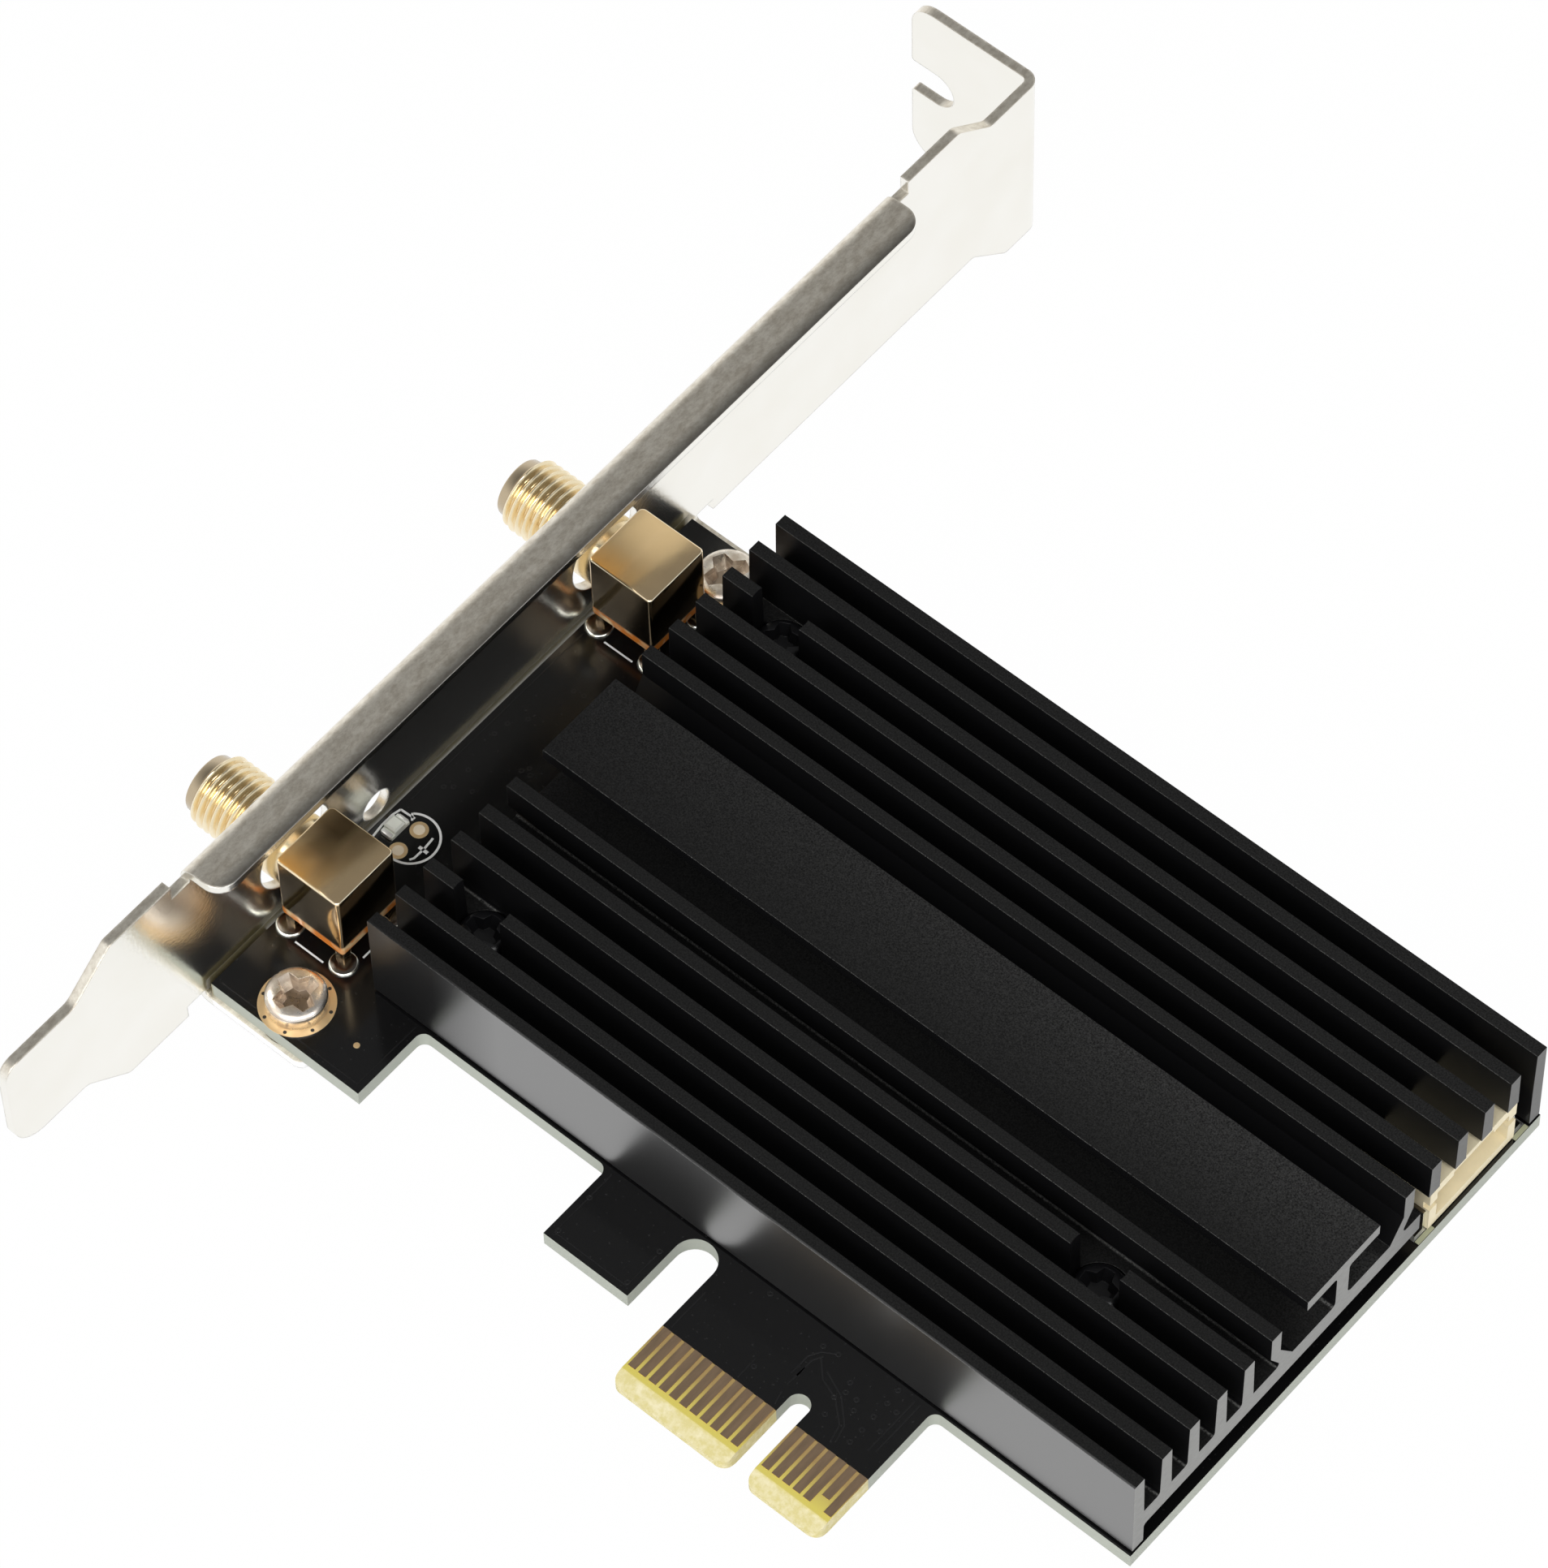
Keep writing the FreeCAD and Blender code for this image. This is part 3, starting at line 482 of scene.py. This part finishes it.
finishes = {
    "bracket_steel": steel_finish(),
    "jack_gold": gold_finish(),
    "contact_gold": contact_finish(),
    "board": board_finish(),
    "sink_black": sink_finish(),
    "screw_steel": worn_finish(),
    "insulator_white": plain_finish("insulator_white", rgb(0.8, 0.8, 0.78), 0.0, 0.5),
    "lamp_white": plain_finish("lamp_white", rgb(0.93, 0.96, 0.88), 0.0, 0.3),
    "header_beige": plain_finish("header_beige", rgb(0.95, 0.84, 0.58), 0.0, 0.4),
    "tin": solder_finish(),
    "screw_black": plain_finish("screw_black", rgb(0.008, 0.008, 0.009), 0.0, 0.3),
    "brass_nickel": plain_finish("brass_nickel", rgb(0.66, 0.62, 0.5), 1.0, 0.3),
    "laminate_green": plain_finish("laminate_green", rgb(0.03, 0.10, 0.05), 0.0, 0.3),
    "can_tin": plain_finish("can_tin", rgb(0.68, 0.68, 0.66), 1.0, 0.35),
    "chip_black": plain_finish("chip_black", rgb(0.02, 0.02, 0.02), 0.0, 0.5),
    "pad_grey": plain_finish("pad_grey", rgb(0.3, 0.32, 0.35), 0.0, 0.8),
    "capacitor_tan": plain_finish("capacitor_tan", rgb(0.35, 0.24, 0.15), 0.0, 0.5),
}
print_white = plain_finish("print_white", rgb(0.92, 0.93, 0.93), 0.0, 0.6, 0.2)
pad_gold = plain_finish("pad_gold", rgb(0.98, 0.72, 0.40), 0.8, 0.38, 0.3, 0.1)
pad_bright = plain_finish("pad_bright", rgb(1.0, 0.86, 0.66), 0.2, 0.4, 0.3, 0.1)
mask_relief = plain_finish("mask_relief", rgb(0.0075, 0.0075, 0.008), 0.0, 0.25, 0.2)
via_dark = plain_finish("via_dark", rgb(0.03, 0.025, 0.02), 0.0, 0.5, 0.2)
lamp_end = plain_finish("lamp_end", rgb(0.9, 0.9, 0.88), 0.6, 0.4, 0.2)
edge_laminate = plain_finish("edge_laminate", rgb(0.45, 0.46, 0.30), 0.0, 0.5, 0.3)


def dress_nodes():
    """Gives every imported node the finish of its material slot."""
    for part in frame["record"]["subparts"]:
        mesh = nodes[part["node"]].data
        mesh.materials.clear()
        mesh.materials.append(finishes[part["material_slot"]])


dress_nodes()


# Small helpers for meshes, in millimetres

def piece(name, shapes, material, stands_for=(), crease=40):
    """One piece of the visible part, from (points, faces) pairs, that rides with the card."""
    points = []
    faces = []
    for shape_points, shape_faces in shapes:
        start = len(points)
        points += [Vector(point) * MM for point in shape_points]
        faces += [[start + index for index in face] for face in shape_faces]
    mesh = bpy.data.meshes.new(name)
    mesh.from_pydata(points, [], faces)
    mesh.validate()
    mesh.materials.append(material)
    mesh.shade_smooth()
    mesh.set_sharp_from_angle(angle=math.radians(crease))
    obj = bpy.data.objects.new(name, mesh)
    bpy.context.scene.collection.objects.link(obj)
    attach(obj, "root")
    if stands_for:
        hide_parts(*stands_for)
    return obj


def turned(profile, middle, axis="Z", steps=48):
    """A closed turned shape from (radius, height) pairs; a radius of 0 closes an end."""
    points = []
    rings = []
    for radius, height in profile:
        ring = []
        count = 1 if radius == 0 else steps
        for step in range(count):
            angle = 2 * math.pi * step / steps
            ring.append(len(points))
            points.append(laid(radius * math.cos(angle), radius * math.sin(angle), height, middle, axis))
        rings.append(ring)
    faces = []
    pairs = list(zip(rings, rings[1:]))
    if profile[0][0] != 0:
        pairs.append((rings[-1], rings[0]))
    for low, high in pairs:
        for step in range(steps):
            following = (step + 1) % steps
            face = [low[step % len(low)], low[following % len(low)],
                    high[following % len(high)], high[step % len(high)]]
            face = list(dict.fromkeys(face))
            if len(face) > 2:
                faces.append(face)
    return points, faces


def laid(u, v, height, middle, axis):
    """A point of a turned shape, laid along Z or along -X from its middle."""
    x, y, z = middle
    if axis == "Z":
        return (x + u, y + v, z + height)
    return (x - height, y + u, z + v)


def disc(x, y, z, radius, height, steps=32):
    """A flat round plate, standing on z."""
    return turned([(0, 0), (radius, 0), (radius, height), (0, height)], (x, y, z), "Z", steps)


def ring(x, y, z, inner, outer, height, steps=48):
    """A flat ring, standing on z."""
    return turned([(inner, 0), (outer, 0), (outer, height), (inner, height)], (x, y, z), "Z", steps)


def brick(low, high):
    """A plain block between two corners."""
    (x0, y0, z0), (x1, y1, z1) = low, high
    points = [(x0, y0, z0), (x1, y0, z0), (x1, y1, z0), (x0, y1, z0),
              (x0, y0, z1), (x1, y0, z1), (x1, y1, z1), (x0, y1, z1)]
    faces = [(3, 2, 1, 0), (4, 5, 6, 7), (0, 1, 5, 4), (1, 2, 6, 5), (2, 3, 7, 6), (3, 0, 4, 7)]
    return points, faces


def ribbon(path, width, z, height):
    """A flat strip of a given width along a path of (x, y) places."""
    count = len(path)
    points = []
    for index, (x, y) in enumerate(path):
        before = Vector(path[max(index - 1, 0)])
        after = Vector(path[min(index + 1, count - 1)])
        along = (after - before).normalized()
        for side in (-1, 1):
            for level in (z, z + height):
                points.append((x - side * along.y * width / 2, y + side * along.x * width / 2, level))
    faces = [(0, 1, 3, 2), (4 * count - 4, 4 * count - 2, 4 * count - 1, 4 * count - 3)]
    for index in range(count - 1):
        a = 4 * index
        b = a + 4
        faces += [(a, b, b + 1, a + 1), (a + 2, a + 3, b + 3, b + 2), (a + 1, b + 1, b + 3, a + 3),
                  (a, a + 2, b + 2, b)]
    return points, faces


def arc(x, y, radius, start, end, steps=24):
    """Places along part of a circle, from one bearing in degrees to another."""
    turns = [math.radians(start + (end - start) * step / steps) for step in range(steps + 1)]
    return [(x + radius * math.cos(turn), y + radius * math.sin(turn)) for turn in turns]


def cut_shape(shape, cutters):
    """A shape with other closed shapes taken away from it."""
    meshes = []
    for points, faces in [shape] + cutters:
        mesh = bpy.data.meshes.new("blank")
        mesh.from_pydata(points, [], faces)
        mesh.update()
        obj = bpy.data.objects.new("blank", mesh)
        bpy.context.scene.collection.objects.link(obj)
        meshes.append(obj)
    body = meshes[0]
    for cutter in meshes[1:]:
        change = body.modifiers.new("cut", "BOOLEAN")
        change.operation = "DIFFERENCE"
        change.solver = "EXACT"
        change.object = cutter
    result = body.evaluated_get(bpy.context.evaluated_depsgraph_get()).to_mesh()
    points = [tuple(vertex.co) for vertex in result.vertices]
    faces = [list(polygon.vertices) for polygon in result.polygons]
    for obj in meshes:
        bpy.data.objects.remove(obj)
    return points, faces


def rounded_block(low, high, radius, segments=4):
    """A block with all its edges rounded."""
    work = bmesh.new()
    points, faces = brick(low, high)
    made = [work.verts.new(point) for point in points]
    for face in faces:
        work.faces.new([made[index] for index in face])
    bmesh.ops.bevel(work, geom=work.edges[:], offset=radius, segments=segments, profile=0.5, affect="EDGES")
    work.verts.index_update()
    points = [tuple(vertex.co) for vertex in work.verts]
    faces = [[vertex.index for vertex in face.verts] for face in work.faces]
    work.free()
    return points, faces


# Screws

def cross_prism(x, y, top, depth, reach, turn):
    """Tapered cross-shaped cutter for a screwdriver, standing on its narrow end."""
    points = []
    for level, long, thin, flare in ((top - depth, 0.55, 0.18, 0.28), (top + 0.2, 1.0, 0.28, 0.44)):
        for quarter in range(4):
            angle = turn + quarter * math.pi / 2
            for u, v in ((long, -thin), (long, thin), (flare, flare)):
                u, v = u * reach, v * reach
                points.append((x + u * math.cos(angle) - v * math.sin(angle),
                               y + u * math.sin(angle) + v * math.cos(angle), level))
    count = len(points) // 2
    faces = [list(range(count))[::-1], list(range(count, 2 * count))]
    for index in range(count):
        following = (index + 1) % count
        faces.append((index, following, count + following, count + index))
    return points, faces


def domed_screw(x, y, seat, head_radius, head_height, shank_radius, shank_end, turn, square):
    """Pan-head screw with a cross recess; square is the share of the head that stays upright."""
    tip = shank_end - seat
    rise = head_height * square
    profile = [(0, tip), (shank_radius - 0.2, tip), (shank_radius, tip + 0.3), (shank_radius, 0),
               (head_radius - 0.08, 0), (head_radius, 0.1), (head_radius, rise)]
    steps = 10
    for step in range(1, steps):
        angle = math.pi / 2 * step / steps
        dome = (head_height - rise) * math.sin(angle) ** 1.1
        profile.append((head_radius * math.cos(angle) ** 0.35, rise + dome))
    profile.append((0, head_height))
    head = turned(profile, (x, y, seat), "Z", 64)
    recess = cross_prism(x, y, seat + head_height, head_height * 0.75, head_radius * 0.8, turn)
    return cut_shape(head, [recess])


def bracket_screws():
    """The two bright screws through the board into the bracket's ears."""
    shapes = [domed_screw(BRACKET_SCREW_X, y, 0.0, head_radius=2.45, head_height=1.65,
                          shank_radius=1.5, shank_end=-3.03, turn=turn, square=0.72)
              for y, turn in zip(BRACKET_SCREW_Y, (-0.25, 1.1))]
    piece("bracket_screws_fine", shapes, finishes["screw_steel"], ["bracket_screws"])


def heat_sink_screws():
    """The three black screws in the heat sink's pockets."""
    shapes = [domed_screw(x, y, SINK_SCREW_SEAT, head_radius=2.05, head_height=1.45,
                          shank_radius=1.0, shank_end=0.5, turn=turn, square=0.55)
              for (x, y), turn in zip(SINK_SCREWS, (0.0, 0.5, 0.1))]
    piece("heat_sink_screws_fine", shapes, finishes["screw_black"], ["heat_sink_screws"])


# Antenna jacks

def threaded_barrel(y):
    """Barrel with its bore, nose collar and helical thread, along -X from the cube."""
    pitch, crest, groove = 0.706, 3.175, 2.78
    around, per_turn = 72, 10
    start, end = 2.41, 9.3
    count = int((end - start) / pitch * per_turn)
    plain_radius = 2.95
    rows = [(0.0, plain_radius), (2.36, plain_radius)]
    rows += [(start + (end - start) * step / count, None) for step in range(count + 1)]
    rows += [(end + 0.05, 2.62), (9.5, 2.58), (10.1, 2.52), (10.24, 2.44), (10.3, 2.3)]
    rows += [(10.3, JACK_BORE), (0.0, JACK_BORE)]
    points = []
    for along, radius in rows:
        for step in range(around):
            angle = 2 * math.pi * step / around
            size = radius
            if radius is None:
                turn = (along / pitch - step / around) % 1.0
                wave = 0.5 - 0.5 * math.cos(2 * math.pi * turn)
                fade = min(1.0, (along - start) / 0.3, (end - along) / 0.3)
                size = crest - (crest - groove) * (1 - wave) - 0.25 * (1 - fade) * wave
            points.append((CUBE_BACK - along, y + size * math.cos(angle), JACK_AXIS + size * math.sin(angle)))
    total = len(rows)
    faces = []
    for row in range(total):
        low, high = row * around, (row + 1) % total * around
        for step in range(around):
            following = (step + 1) % around
            faces.append((low + step, high + step, high + following, low + following))
    return points, faces


def jack_body(letter, y):
    """A jack's bored cube with its barrel and four legs."""
    low = (JACK_X - CUBE_HALF, y - CUBE_HALF, CUBE_LOW)
    high = (JACK_X + CUBE_HALF, y + CUBE_HALF, CUBE_HIGH)
    bore_depth = 4.45
    bore = turned([(0, -bore_depth), (JACK_BORE, -bore_depth), (JACK_BORE, 2), (0, 2)],
                  (CUBE_BACK, y, JACK_AXIS), "X", 48)
    drop_radius, drop_top = 1.3, JACK_AXIS - CUBE_LOW
    drop = turned([(0, -1), (drop_radius, -1), (drop_radius, drop_top), (0, drop_top)],
                  (JACK_X, y, CUBE_LOW), "Z", 32)
    cube = rounded_prism(low, high, (0.4, 0.5, 0.4, 0.3), 0.2, 0.28)
    shapes = [cut_shape(cube, [bore, drop]), threaded_barrel(y)]
    for dx in (-LEG_HALF_PITCH, LEG_HALF_PITCH):
        for dy in (-LEG_HALF_PITCH, LEG_HALF_PITCH):
            x, leg_y = JACK_X + dx, y + dy
            shapes.append(rounded_block((x - LEG_HALF, leg_y - LEG_HALF, -2.37),
                                        (x + LEG_HALF, leg_y + LEG_HALF, 2.3), 0.1, 2))
    name = "jack_" + letter + "_body"
    piece(name + "_fine", shapes, finishes["jack_gold"], [name], 35)


def rounded_prism(low, high, corners, edge, foot, steps=5):
    """A block with rounded upright edges, counted round from +X +Y, a rounded top edge and a rounded foot."""
    (x0, y0, z0), (x1, y1, z1) = low, high
    turns = [math.pi / 2 * step / steps for step in range(steps + 1)]
    levels = [(z0 + foot * (1 - math.cos(turn)), foot * (1 - math.sin(turn))) for turn in turns]
    levels += [(z1 - edge * (1 - math.cos(turn)), edge * (1 - math.sin(turn))) for turn in reversed(turns)]
    sides = ((x1, y1, -1, -1), (x0, y1, 1, -1), (x0, y0, 1, 1), (x1, y0, -1, 1))
    points = []
    for z, inset in levels:
        for quarter, ((x, y, dx, dy), corner) in enumerate(zip(sides, corners)):
            turn = arc(x + dx * corner, y + dy * corner, corner - inset, 90 * quarter, 90 * quarter + 90, steps)
            points += [(px, py, z) for px, py in turn]
    around = 4 * (steps + 1)
    faces = [list(range(around))[::-1], list(range(len(points) - around, len(points)))]
    for row in range(len(levels) - 1):
        for step in range(around):
            following = (step + 1) % around
            a = row * around
            b = a + around
            faces.append((a + step, a + following, b + following, b + step))
    return points, faces


def solder(x, y, z, foot, neck, height, down=False):
    """Solder round a leg: a low flat drop above the board, a hollow-flanked fillet below it."""
    if down:
        profile = [(0, 0), (foot, 0), (foot * 0.97, -height * 0.12), ((foot + neck) / 2, -height * 0.3),
                   (neck + 0.08, -height * 0.75), (neck, -height), (0, -height)]
    else:
        profile = [(0, 0), (foot, 0), (foot * 0.99, height * 0.35), (foot * 0.94, height * 0.62),
                   (foot * 0.86, height * 0.8), (neck, height), (0, height)]
    return turned(profile, (x, y, z), "Z", 28)


def solder_joints():
    """Solder of the jacks' legs and centre contacts, on both sides of the board."""
    shapes = []
    for y in JACK_Y:
        for dx in (-LEG_HALF_PITCH, LEG_HALF_PITCH):
            for dy in (-LEG_HALF_PITCH, LEG_HALF_PITCH):
                shapes.append(solder(JACK_X + dx * 1.08, y + dy * 1.11, 0.0, foot=1.2, neck=0.6, height=0.3))
                shapes.append(solder(JACK_X + dx, y + dy, BOARD_UNDER, foot=1.05, neck=0.62, height=0.75, down=True))
        shapes.append(solder(JACK_X, y, BOARD_UNDER, foot=1.1, neck=0.55, height=0.7, down=True))
    piece("solder_joints", shapes, finishes["tin"])


# Board detail

def nodes_box(name):
    """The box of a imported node, in millimetres."""
    obj = nodes[name]
    spans = list(zip(*(obj.matrix_world @ Vector(corner) / MM for corner in obj.bound_box)))
    return [min(span) for span in spans], [max(span) for span in spans]


def gold_pads():
    """Plated rings under the bracket's screws and round the filled holes, and one test pad."""
    screw_hole, screw_rim = 1.65, 3.05
    lamp_hole, lamp_rim, filling = 0.4, 0.76, 0.47
    shapes = []
    for z in (0.0, BOARD_UNDER - PAD_HEIGHT):
        for y in BRACKET_SCREW_Y:
            shapes.append(ring(BRACKET_SCREW_X, y, z, screw_hole, screw_rim, PAD_HEIGHT, 64))
        for y in SPARE_LAMP_Y:
            shapes.append(ring(SPARE_LAMP_X, y, z, lamp_hole, lamp_rim, PAD_HEIGHT, 32))
    shapes.append(disc(-45.64, 3.08, 0.0, 0.26, PAD_HEIGHT))
    filled = [disc(SPARE_LAMP_X, y, 0.0, filling, 2 * PAD_HEIGHT, 32) for y in SPARE_LAMP_Y]
    piece("gold_pads", shapes, pad_gold)
    piece("filled_pads", filled, pad_bright)


def lamp_ends():
    """Soldered metal ends of the lamp, round its white body."""
    low, high = nodes_box("status_lamp")
    near = rounded_block((low[0] + 0.1, low[1] - 0.12, 0.0), (high[0] - 0.1, low[1] + 0.3, 0.5), 0.1, 2)
    far = rounded_block((low[0] + 0.1, high[1] - 0.2, 0.0), (high[0] - 0.1, high[1] + 0.12, 0.4), 0.1, 2)
    piece("lamp_ends", [near, far], lamp_end)


def header_pads():
    """Tin under the header's tabs and bare laminate at the board's edge beside it."""
    tin = [brick((23.3, 41.15, 0.0), (26.1, 43.0, 0.05)), brick((23.3, 52.95, 0.0), (26.1, 54.45, 0.05))]
    piece("header_pads", tin, finishes["can_tin"])
    bare = [brick((26.15, 41.2, 0.0), (26.55, 43.1, 0.02)), brick((26.15, 52.9, 0.0), (26.55, 54.5, 0.02))]
    piece("bare_laminate", bare, edge_laminate)


def pad_vias():
    """Eight small dark vias in each plated screw ring."""
    circle, radius = 2.74, 0.15
    shapes = []
    for y in BRACKET_SCREW_Y:
        for step in range(8):
            angle = math.radians(22.5 + 45 * step)
            shapes.append(disc(BRACKET_SCREW_X + circle * math.cos(angle), y + circle * math.sin(angle),
                               PAD_HEIGHT, radius, 0.01, 16))
    piece("pad_vias", shapes, via_dark)


def white_print():
    """White lines round the jacks' feet and the lamp's outline."""
    half, beside, beyond = 1.45, 3.72, 3.5
    lines = []
    for y in JACK_Y:
        for dy in (-beside, beside):
            lines.append(([(JACK_X - half, y + dy), (JACK_X + half, y + dy)], FOOT_LINE_WIDTH))
        lines.append(([(JACK_X + beyond, y - half), (JACK_X + beyond, y + half)], FOOT_LINE_WIDTH))
    lines.append((arc(-54.86, 19.5, 2.28, -95, 128, 40), 0.2))
    for path in ([(-57.25, 17.7), (-57.42, 19.0), (-57.42, 20.2), (-57.25, 20.95)],
                 [(-57.25, 20.95), (-55.85, 21.03)],
                 [(-56.35, 21.3), (-55.9, 20.75)],
                 [(-53.68, 17.98), (-53.5, 18.3), (-53.47, 19.4), (-53.55, 20.3), (-53.6, 20.6)]):
        lines.append((path, LAMP_LINE_WIDTH))
    lines.append(([(-53.9, 19.32), (-53.0, 19.32)], 0.3))
    piece("white_print", [ribbon(path, width, 0.0, PRINT_HEIGHT) for path, width in lines], print_white)


def board_relief():
    """Traces and vias that show faintly through the mask."""
    inset = 0.6
    long_notch, tab_root, tab_notch, tongue_root = NOTCH_SIDES
    paths = [
        [(-2.15, 2.9), (-2.15, 4.8), (-1.6, 5.7), (-0.6, 6.3)],
        [(-1.7, 3.0), (-1.7, 4.7), (-1.25, 5.5)],
        [(6.35, 1.6), (6.35, 7.0)],
        [(6.87, 1.9), (6.87, 7.0)],
        [(-1.3, 5.3), (0.0, 4.0), (1.7, 3.4), (3.4, 1.9), (3.75, 0.5)],
        [(-0.2, 4.7), (1.95, 3.8), (3.7, 2.1), (4.1, 0.6)],
        [(-1.7, 1.3), (-1.4, 0.2)],
        [(-4.95, 0.1), (-4.95, 2.1)],
        [(-1.78, 2.0), (-1.65, 3.9)],
        [(BOARD_LEFT + inset, inset), (long_notch - inset, inset), (long_notch - inset, 7.2)],
        [(tab_root + inset, 7.0), (tab_root + inset, inset), (tab_notch - inset, inset), (tab_notch - inset, 4.0)],
        [(tongue_root + inset, 4.0), (tongue_root + inset, 0.1)],
        [(BOARD_LEFT + inset, 14.5), (BOARD_LEFT + inset, 17.2)],
        [(BOARD_LEFT + inset, 22.2), (BOARD_LEFT + inset, 42.2)],
    ]
    vias = [(-23.4, 4.52), (-23.32, 0.9), (-16.35, 4.41), (-16.45, 0.9), (-7.69, 7.0), (-4.62, 1.58), (-1.83, 6.17),
            (1.69, 5.12), (1.95, 4.28), (1.55, 3.43), (2.98, 4.32), (4.9, 5.55), (1.98, 1.91), (4.85, 4.05),
            (3.4, 3.5), (4.91, 2.66), (6.0, 3.43), (4.88, 1.35), (5.9, 5.42), (4.83, 6.9), (-0.51, 6.34)]
    via_hole, via_rim, via_height = 0.1, 0.24, 0.025
    scatter = random.Random(7)
    for _ in range(16):
        x = BOARD_LEFT + scatter.uniform(1.2, 9.0)
        vias.append((x, scatter.uniform(23.0, 41.0)))
    shapes = [ribbon(path, TRACE_WIDTH, 0.0, PRINT_HEIGHT) for path in paths]
    shapes += [ring(x, y, 0.0, via_hole, via_rim, via_height, 20) for x, y in vias]
    piece("board_relief", shapes, mask_relief)


bracket_screws()
heat_sink_screws()
for letter, jack_y in zip("ab", JACK_Y):
    jack_body(letter, jack_y)
solder_joints()
gold_pads()
lamp_ends()
header_pads()
pad_vias()
white_print()
board_relief()


# Camera, light and surroundings

CAMERA_PLACE = Vector((193.70, -212.95, 538.01)) * MM
CAMERA_AIM = Vector((-36.80, 41.51, 0.0)) * MM
CAMERA_ROLL = math.radians(1.824)
CAMERA_LENS = 189.75
CAMERA_SHIFT = (-0.00103, -0.00184)
SOFT_BOX = (-0.36, -0.74, 0.57)
LAMP_AIM = (0, 20, 0)


def set_camera():
    """The camera solved from the card's standard sizes."""
    data = bpy.data.cameras.new("camera")
    data.sensor_width = 36.0
    data.sensor_fit = "AUTO"
    data.lens = CAMERA_LENS
    data.shift_x, data.shift_y = CAMERA_SHIFT
    data.clip_start = 0.01
    data.clip_end = 20.0
    camera = bpy.data.objects.new("camera", data)
    bpy.context.scene.collection.objects.link(camera)
    aim = (CAMERA_AIM - CAMERA_PLACE).to_track_quat("-Z", "Y").to_matrix().to_4x4()
    camera.matrix_world = Matrix.Translation(CAMERA_PLACE) @ aim @ Matrix.Rotation(-CAMERA_ROLL, 4, "Z")
    bpy.context.scene.camera = camera


def area_light(name, place_mm, aim_mm, size_mm, power):
    """A rectangular lamp at a place, turned towards an aim."""
    data = bpy.data.lights.new(name, "AREA")
    data.shape = "RECTANGLE"
    data.size = size_mm[0] * MM
    data.size_y = size_mm[1] * MM
    data.energy = power
    light = bpy.data.objects.new(name, data)
    bpy.context.scene.collection.objects.link(light)
    start = Vector(place_mm) * MM
    turn = (Vector(aim_mm) * MM - start).to_track_quat("-Z", "Y").to_matrix().to_4x4()
    light.matrix_world = Matrix.Translation(start) @ turn


def white_for_eye(tree, plain_shader, bright):
    """Mixes a shader with plain white light for what the camera, mirrors and glass see."""
    path = add(tree, "ShaderNodeLightPath")
    seen = sums(tree, "MAXIMUM", path.outputs["Is Camera Ray"], path.outputs["Is Glossy Ray"])
    seen = sums(tree, "MAXIMUM", seen, path.outputs["Is Transmission Ray"])
    mix = add(tree, "ShaderNodeMixShader")
    wire(tree, sums(tree, "MULTIPLY", seen, bright), mix.inputs[0])
    wire(tree, plain_shader, mix.inputs[1])
    return mix


def towards(tree, coordinates, direction):
    """How far a ray points along a direction."""
    node = add(tree, "ShaderNodeVectorMath", operation="DOT_PRODUCT")
    wire(tree, coordinates.outputs["Generated"], node.inputs[0])
    node.inputs[1].default_value = Vector(direction).normalized()
    return node.outputs["Value"]


def set_world():
    """White round and below the card and dark above it, as on a lit table in a dark room."""
    world = bpy.data.worlds.new("studio")
    world.use_nodes = True
    bpy.context.scene.world = world
    tree = world.node_tree
    tree.nodes.clear()
    coordinates = add(tree, "ShaderNodeTexCoord")
    direction = add(tree, "ShaderNodeSeparateXYZ")
    wire(tree, coordinates.outputs["Generated"], direction.inputs[0])
    sky = spread(tree, direction.outputs["Z"], 0.2, 0.72, 1.0, 0.23)
    soft_box = spread(tree, towards(tree, coordinates, SOFT_BOX), 0.955, 0.985, 0.0, 0.9)
    level = sums(tree, "MAXIMUM", sky, soft_box)
    background = add(tree, "ShaderNodeBackground")
    wire(tree, level, background.inputs["Color"])
    white = add(tree, "ShaderNodeBackground")
    white.inputs["Color"].default_value = rgb(1, 1, 1)
    path = add(tree, "ShaderNodeLightPath")
    mix = add(tree, "ShaderNodeMixShader")
    wire(tree, path.outputs["Is Camera Ray"], mix.inputs[0])
    wire(tree, background.outputs[0], mix.inputs[1])
    wire(tree, white.outputs[0], mix.inputs[2])
    output = add(tree, "ShaderNodeOutputWorld")
    wire(tree, mix.outputs[0], output.inputs["Surface"])


def set_floor():
    """Pale floor under the card, white to the camera apart from a faint shadow."""
    low = cad_box[0][2]
    reach = 1.5
    mesh = bpy.data.meshes.new("floor")
    corners = [(-reach, -reach, low), (reach, -reach, low), (reach, reach, low), (-reach, reach, low)]
    mesh.from_pydata(corners, [], [(0, 1, 2, 3)])
    floor = bpy.data.objects.new("floor", mesh)
    bpy.context.scene.collection.objects.link(floor)
    material, tree, shader = principled("floor", rgb(0.86, 0.86, 0.85), 0.0, 0.9)
    shader.inputs["Specular IOR Level"].default_value = 0.0
    light = add(tree, "ShaderNodeEmission")
    light.inputs["Color"].default_value = rgb(1, 1, 1)
    mix = white_for_eye(tree, shader.outputs[0], 0.99)
    wire(tree, light.outputs[0], mix.inputs[2])
    wire(tree, mix.outputs[0], tree.nodes["Material Output"].inputs["Surface"])
    mesh.materials.append(material)


set_camera()
set_world()
set_floor()
area_light("front", (60, -400, 480), LAMP_AIM, (420, 420), 2.2)
area_light("side", (320, -60, 480), LAMP_AIM, (300, 300), 1.1)
bpy.context.scene.view_settings.view_transform = "Standard"
